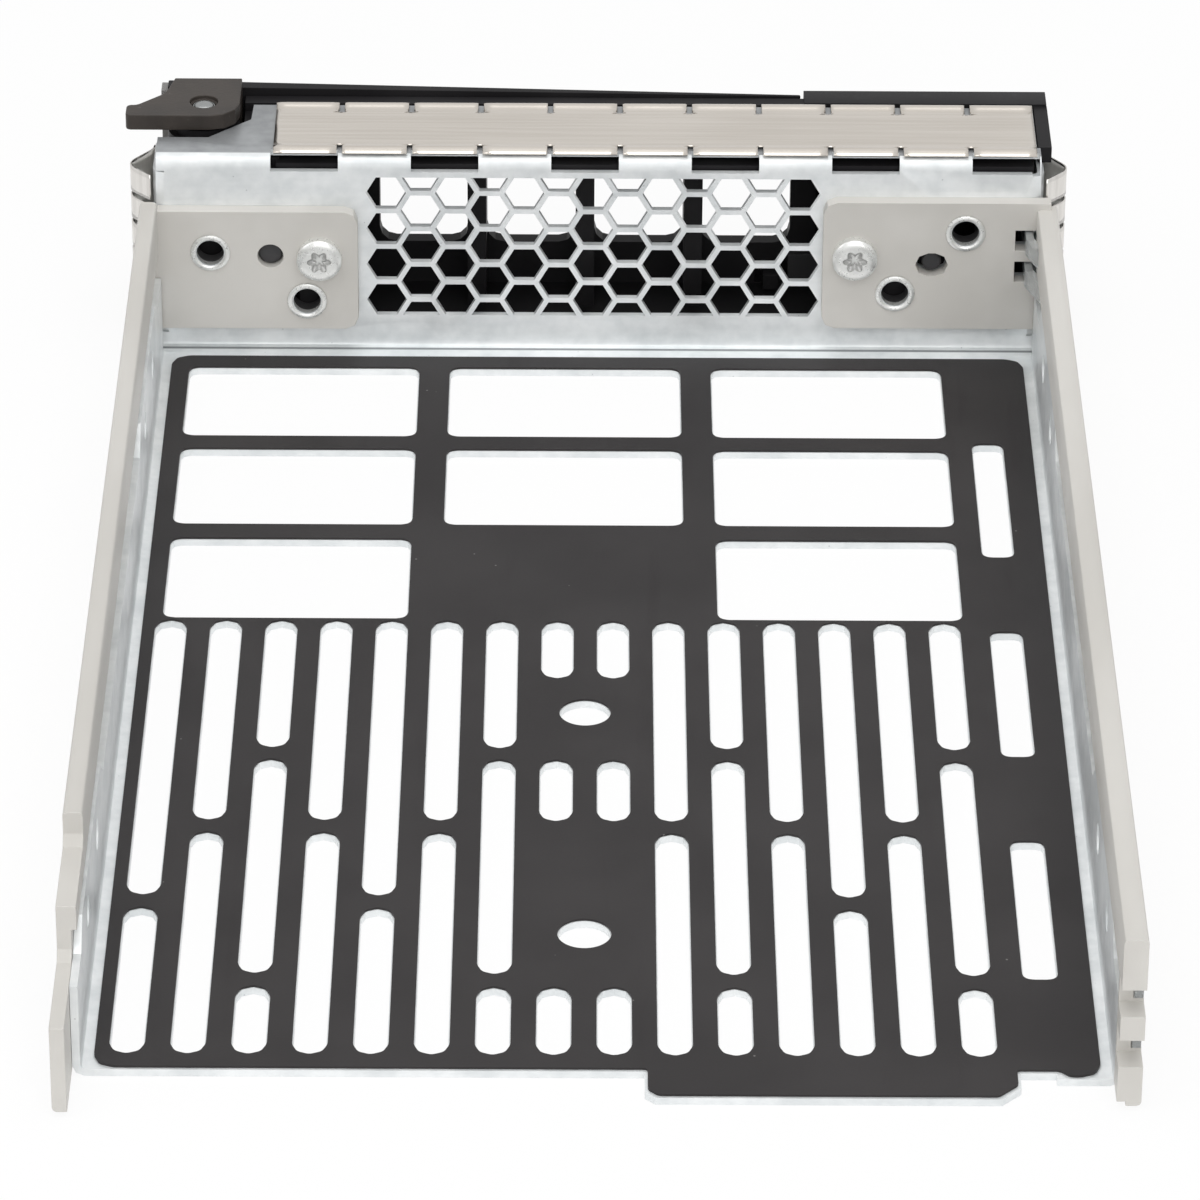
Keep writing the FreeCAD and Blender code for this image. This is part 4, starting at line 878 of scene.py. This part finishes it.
# ---- Gaskets ----
@dataclass
class Gaskets(Assembly):
    """Spring strips with slit fingers, drawn as one curved surface each."""

    thickness: float = 0.2 * MM
    pitch: float = 8.15 * MM
    slit: float = 0.65 * MM
    slit_length: Band = (2.0 * MM, 2.6 * MM)
    first_finger: float = 7.7 * MM
    slit_room: float = 0.12 * MM
    smooth: float = 60.0
    least_run: float = 0.02 * MM
    rest_drop: float = 0.42 * MM
    rear_hump: tuple[Band, ...] = ((1.0 * MM, -0.02 * MM), (2.0 * MM, -0.24 * MM))
    front_hump: tuple[Band, ...] = ((-1.85 * MM, -0.24 * MM), (-0.95 * MM, 0.13 * MM), (0.0, -0.3 * MM))
    top_hem: float = 1.1 * MM
    top_run: float = 1.2 * MM
    top_rounding: tuple[float, ...] = (0.45 * MM, 0.5 * MM, 0.35 * MM, 0.4 * MM, 0.3 * MM, 0.2 * MM)
    side_fingers: int = 4
    side_hem: float = 2.3 * MM
    side_step: float = 1.1 * MM
    side_run: float = 0.8 * MM
    arch: float = 7.1 * MM
    arch_share: float = 0.42
    arch_rise: Band = (0.28 * MM, 0.12 * MM)
    side_rounding: tuple[float, ...] = (0.25 * MM, 0.25 * MM, 0.9 * MM, 1.9 * MM)

    def build(self) -> None:
        """Stand curved strips in for the three gaskets."""
        self.add(self.top(), "top_gasket", Finishes.STRIP)
        self.add(self.side("left_side_gasket", -1), "left_side_gasket", Finishes.SIDE_STRIP)
        self.add(self.side("right_side_gasket", 1), "right_side_gasket", Finishes.SIDE_STRIP)

    def stations(self, start: float, end: float, slits: Sequence[float], step: float) -> Array:
        """Places along a strip, with one at each side of every slit."""
        sides = [s + k * self.slit / 2 for s in slits for k in (-1.0, 0.0, 1.0)]
        even = np.linspace(start, end, int((end - start) / step) + 1)
        inside = [s for s in sides if start < s < end]
        clear = [e for e in even if all(abs(e - s) > self.slit_room for s in inside)]
        return np.unique(np.concatenate([clear, inside, [start, end]]))

    def strip(self, name: str, line: Array, along: Array, slits: Sequence[float],
              order: tuple[int, int, int], cut: Sequence[Band]) -> Piece:
        """Strip with a section swept along its length, and slits left open at its edges.

        Args:
            name: Name of the piece.
            line: Section as an (n, 2) array.
            along: Places along the strip.
            slits: Centres of the slits.
            order: Axes of the section's first and second numbers and of the length.
            cut: Stretches of the section, by distance along it, that the slits open.

        Returns:
            The strip, thickened to both sides of its section.
        """
        points = np.zeros((len(along), len(line), 3))
        points[..., order[0]] = line[None, :, 0]
        points[..., order[1]] = line[None, :, 1]
        points[..., order[2]] = along[:, None]
        run = run_along(line)
        middle = (run[1:] + run[:-1]) / 2
        place = (along[1:] + along[:-1]) / 2
        in_slit = np.any(np.abs(place[:, None] - np.asarray(slits)[None, :]) < self.slit / 2, axis=1)
        opened = np.any([(middle > a) & (middle < b) for a, b in cut], axis=0)
        keep = ~(in_slit[:, None] & opened[None, :])
        piece = make_piece(name, [Surface(points, keep=keep)], self.smooth)
        wall = piece.modifiers.new("sheet", "SOLIDIFY")
        wall.thickness = self.thickness
        wall.offset = 0.0
        return piece

    def top(self) -> Piece:
        """Top strip: flat crest, both long edges curved down, and a clip under the flange."""
        low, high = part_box("top_gasket")
        half = self.thickness / 2
        crest, under = high.z - half, low.z + half
        clip = high.y - half
        corners = [(low.y, crest - self.rest_drop)]
        corners += [(low.y + y, crest + z) for y, z in self.rear_hump]
        corners += [(clip + y, crest + z) for y, z in self.front_hump]
        corners += [(clip, under), (clip - self.top_hem, under)]
        line = self.refined(rounded_line(corners, self.top_rounding))
        slits = np.arange(low.x + self.first_finger, high.x, self.pitch)
        along = self.stations(low.x, high.x, slits, self.top_run)
        reach = run_along(line)[-1]
        tail = self.top_hem + (crest - under)
        cut = [(0.0, self.slit_length[0]), (reach - tail - self.slit_length[1], reach)]
        return self.strip("top_spring_strip", line, along, slits, (1, 2, 0), cut)

    def side(self, node: str, hand: int) -> Piece:
        """Side strip: a clip round the flange's edge, then an arch with slit fingers."""
        low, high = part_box(node)
        half = self.thickness / 2
        inner, outer = sorted((abs(low.x), abs(high.x)))
        clip = high.y - half
        inner, crest = inner + half, outer - half
        flat = inner + self.side_step
        peak, foot = self.arch_rise
        corners = [(inner, clip - self.side_hem), (inner, clip), (flat, clip), (flat, low.y + self.arch),
                   (crest + peak, low.y + self.arch * self.arch_share), (flat + foot, low.y)]
        line = self.refined(rounded_line(corners, self.side_rounding)) * [hand, 1.0]
        pitch = (high.z - low.z) / self.side_fingers
        slits = low.z + pitch * np.arange(1, self.side_fingers)
        along = self.stations(low.z, high.z, slits, self.side_run)
        reach = run_along(line)[-1]
        return self.strip(node + "_strip", line, along, slits, (0, 1, 2), [(reach - self.arch, reach)])

    def refined(self, line: Array) -> Array:
        """Line with points added so that no run is longer than the curve step."""
        run = run_along(line)
        places = np.unique(np.concatenate([run, np.arange(0.0, run[-1], CURVE_STEP)]))
        places = places[np.concatenate([[True], np.diff(places) > self.least_run])]
        return np.stack([np.interp(places, run, line[:, k]) for k in (0, 1)], axis=1)


# ---- Bezel, lever and button ----
@dataclass
class FrontEnd(Assembly):
    """Bezel, lever, hinge pin, release button and their springs."""

    edge: float = 0.18 * MM
    trim_share: float = 0.8
    hook_share: float = 1.6
    turn_steps: int = 24
    coil_turns: int = 5
    coil_radius: float = 2.7 * MM
    coil_wire: float = 0.4 * MM
    return_turns: int = 6
    return_wire: float = 0.25 * MM
    return_radius: float = 2.2 * MM
    press: float = 2.0 * MM
    pin_radius: float = 1.35 * MM
    pin_steps: int = 40
    dome_steps: int = 10
    pin_dome: Band = (0.86, 0.35 * MM)
    pin_groove: Band = (0.93, 0.34 * MM)
    pin_shoulder: float = 0.45 * MM
    pin_chamfer: float = 0.2 * MM

    def build(self) -> None:
        """Soften the mouldings, dome the pin and wind the springs."""
        self.soften("bezel_frame", "bezel_moulding", self.edge, Finishes.BEZEL)
        self.soften("lever_handle", "lever_bar", self.edge, Finishes.BEZEL)
        self.soften("lever_fascia", "lever_trim", self.edge * self.trim_share, Finishes.FASCIA)
        self.soften("release_button", "button_cap", self.edge, Finishes.BUTTON)
        self.soften("lever_cam", "lever_hook", self.edge * self.hook_share, Finishes.CASTING)
        self.dress_node("lever_screws", Finishes.FASTENER)
        self.add(self.pin(), "lever_pin", Finishes.PIN)
        self.add(self.lever_spring(), "lever_spring", Finishes.WIRE)
        self.add(self.button_spring(), "button_spring", Finishes.WIRE)
        self.let_button_spring_shorten()

    def pin(self) -> Piece:
        """Hinge pin with a low dome on a turned collar: a profile turned about its axis."""
        low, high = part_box("lever_pin")
        centre = ((low.x + high.x) / 2, (low.y + high.y) / 2, 0.0)
        a = np.linspace(0.0, math.pi / 2, self.dome_steps)
        radius, (share, drop), (groove, groove_drop) = self.pin_radius, self.pin_dome, self.pin_groove
        dome = np.stack([radius * share * np.sin(a), high.z - drop * (1 - np.cos(a))], axis=1)
        rest = np.array([(radius * groove, high.z - groove_drop), (radius, high.z - self.pin_shoulder),
                         (radius, low.z + self.pin_chamfer), (radius - self.pin_chamfer, low.z),
                         (0.0, low.z)])
        return make_piece("hinge_pin", [turned(np.concatenate([dome, rest]), centre, 2, self.pin_steps)])

    def lever_spring(self) -> Piece:
        """Torsion spring: a helix about the hinge, from the node's lower to its upper end."""
        path = self.helix("lever_spring", 2, self.coil_radius, self.coil_wire, self.coil_turns)
        return make_piece("torsion_spring", [wire_along(path, self.coil_wire)])

    def button_spring(self) -> Piece:
        """Compression spring: a helix along the button's travel, closed at both ends."""
        path = self.helix("button_spring", 1, self.return_radius, self.return_wire, self.return_turns)
        return make_piece("return_spring", [wire_along(path, self.return_wire)])

    def helix(self, node: str, axis: int, radius: float, wire: float, turns: int) -> Array:
        """Middle line of a spring.

        A point at angle a lies at radius * cos(a) and radius * sin(a) from the middle of the
        node, and moves evenly along the axis with a, one wire's radius inside both ends.

        Args:
            node: Node that the spring stands for.
            axis: Number of the axis that the spring winds about.
            radius: Middle radius of the spring.
            wire: Radius of its wire.
            turns: Number of turns.

        Returns:
            An (n, 3) array.
        """
        low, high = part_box(node)
        a = np.linspace(0.0, 2 * math.pi * turns, self.turn_steps * turns + 1)
        first, second = [k for k in range(3) if k != axis]
        path = np.zeros((len(a), 3))
        path[:, first] = (low[first] + high[first]) / 2 + radius * np.cos(a)
        path[:, second] = (low[second] + high[second]) / 2 + radius * np.sin(a)
        path[:, axis] = np.linspace(low[axis] + wire, high[axis] - wire, len(a))
        return path

    def let_button_spring_shorten(self) -> None:
        """Give the return spring a mesh of its own; its length stays as drawn."""
        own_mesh(bpy.data.objects["return_spring"])


# ---- Studio ----
@dataclass
class Studio:
    """Floor, soft lights and the camera."""

    floor_size: float = 6.0
    floor_level: float = -0.05 * MM
    lens: float = 209.56
    sensor: float = 36.0
    nearest: float = 0.05
    distance: float = 0.77035
    aim: Point = (0.00029, 0.0, 0.0008)
    elevation: float = 30.0
    turn: float = 0.184
    roll: float = 0.367
    fill: float = 0.5
    gloss_heights: Band = (0.45, 0.95)
    gloss_levels: Band = (0.86, 1.0)
    lamps: tuple[tuple[str, Point, float, float], ...] = (
        ("overhead", (0.0, -0.1, 0.95), 0.9, 4.0),
        ("left_window", (-0.8, -0.35, 0.6), 0.5, 1.05),
        ("camera_card", (0.1, -0.95, 0.62), 0.8, 3.75))

    def build(self) -> None:
        """Set up the floor, the world, the lamps and the camera."""
        self.floor()
        self.world()
        for name, place, size, power in self.lamps:
            self.lamp(name, place, size, power)
        self.camera()
        bpy.context.scene.view_settings.view_transform = "Standard"

    def floor(self) -> None:
        """Pale floor just under the tray."""
        half = self.floor_size / 2
        u = np.linspace(-half, half, 3)
        grid = np.stack([*np.meshgrid(u, u, indexing="ij"), np.full((3, 3), self.floor_level)], axis=-1)
        floor = make_piece("studio_floor", [Surface(grid)])
        Finishes.FLOOR.value.dress(floor)

    def world(self) -> None:
        """Even pale surroundings, white to the camera and in reflections."""
        world = bpy.data.worlds.new("pale_room")
        bpy.context.scene.world = world
        tree = ShaderTree(world, "Background")
        to_camera, to_gloss = (tree.add("ShaderNodeLightPath", {}, {}, name)
                               for name in ("Is Camera Ray", "Is Glossy Ray"))
        direction = tree.add("ShaderNodeTexCoord", {}, {}, "Generated")
        height = tree.add("ShaderNodeSeparateXYZ", {}, {0: direction}, "Z")
        gloss = height.between(*self.gloss_heights, *self.gloss_levels)
        level = tree.add("ShaderNodeMix", {}, {0: to_gloss, 2: self.fill, 3: gloss})
        tree.set(Color=(1.0, 1.0, 1.0), Strength=to_camera.maths("MAXIMUM", to_camera, level))

    def lamp(self, name: str, place: Point, size: float, power: float) -> None:
        """Square soft lamp that faces the tray."""
        light = bpy.data.lights.new(name, "AREA")
        light.size = size
        light.energy = power
        lamp = linked(name, light)
        lamp.location = place
        aim = -np.asarray(place)
        flat = math.hypot(aim[0], aim[1])
        lamp.rotation_euler = (math.atan2(flat, -aim[2]), 0.0, math.atan2(-aim[0], aim[1]))

    def camera(self) -> None:
        """Long lens that looks down on the open rear of the tray."""
        data = bpy.data.cameras.new("camera")
        data.sensor_width = self.sensor
        data.lens = self.lens
        data.clip_start = self.nearest
        camera = linked("camera", data)
        up, turn = math.radians(self.elevation), math.radians(self.turn)
        back = np.array([-math.sin(turn) * math.cos(up), -math.cos(turn) * math.cos(up), math.sin(up)])
        camera.location = np.asarray(self.aim) + back * self.distance
        camera.rotation_euler = (Matrix.Rotation(-turn, 3, "Z") @ Matrix.Rotation(math.pi / 2 - up, 3, "X")
                                 @ Matrix.Rotation(math.radians(self.roll), 3, "Z")).to_euler()
        bpy.context.scene.camera = camera


def main() -> None:
    """Build the studio and every sub-assembly."""
    logging.basicConfig(level=logging.INFO, format="%(message)s")
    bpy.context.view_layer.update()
    Studio().build()
    for assembly in (Tray(), Rails(), PadScrews(), Gaskets(), FrontEnd()):
        assembly.build()
        LOG.info("%s: %d new pieces", type(assembly).__name__, len(assembly.pieces))
    bpy.context.view_layer.update()


if __name__ == "__main__":
    main()
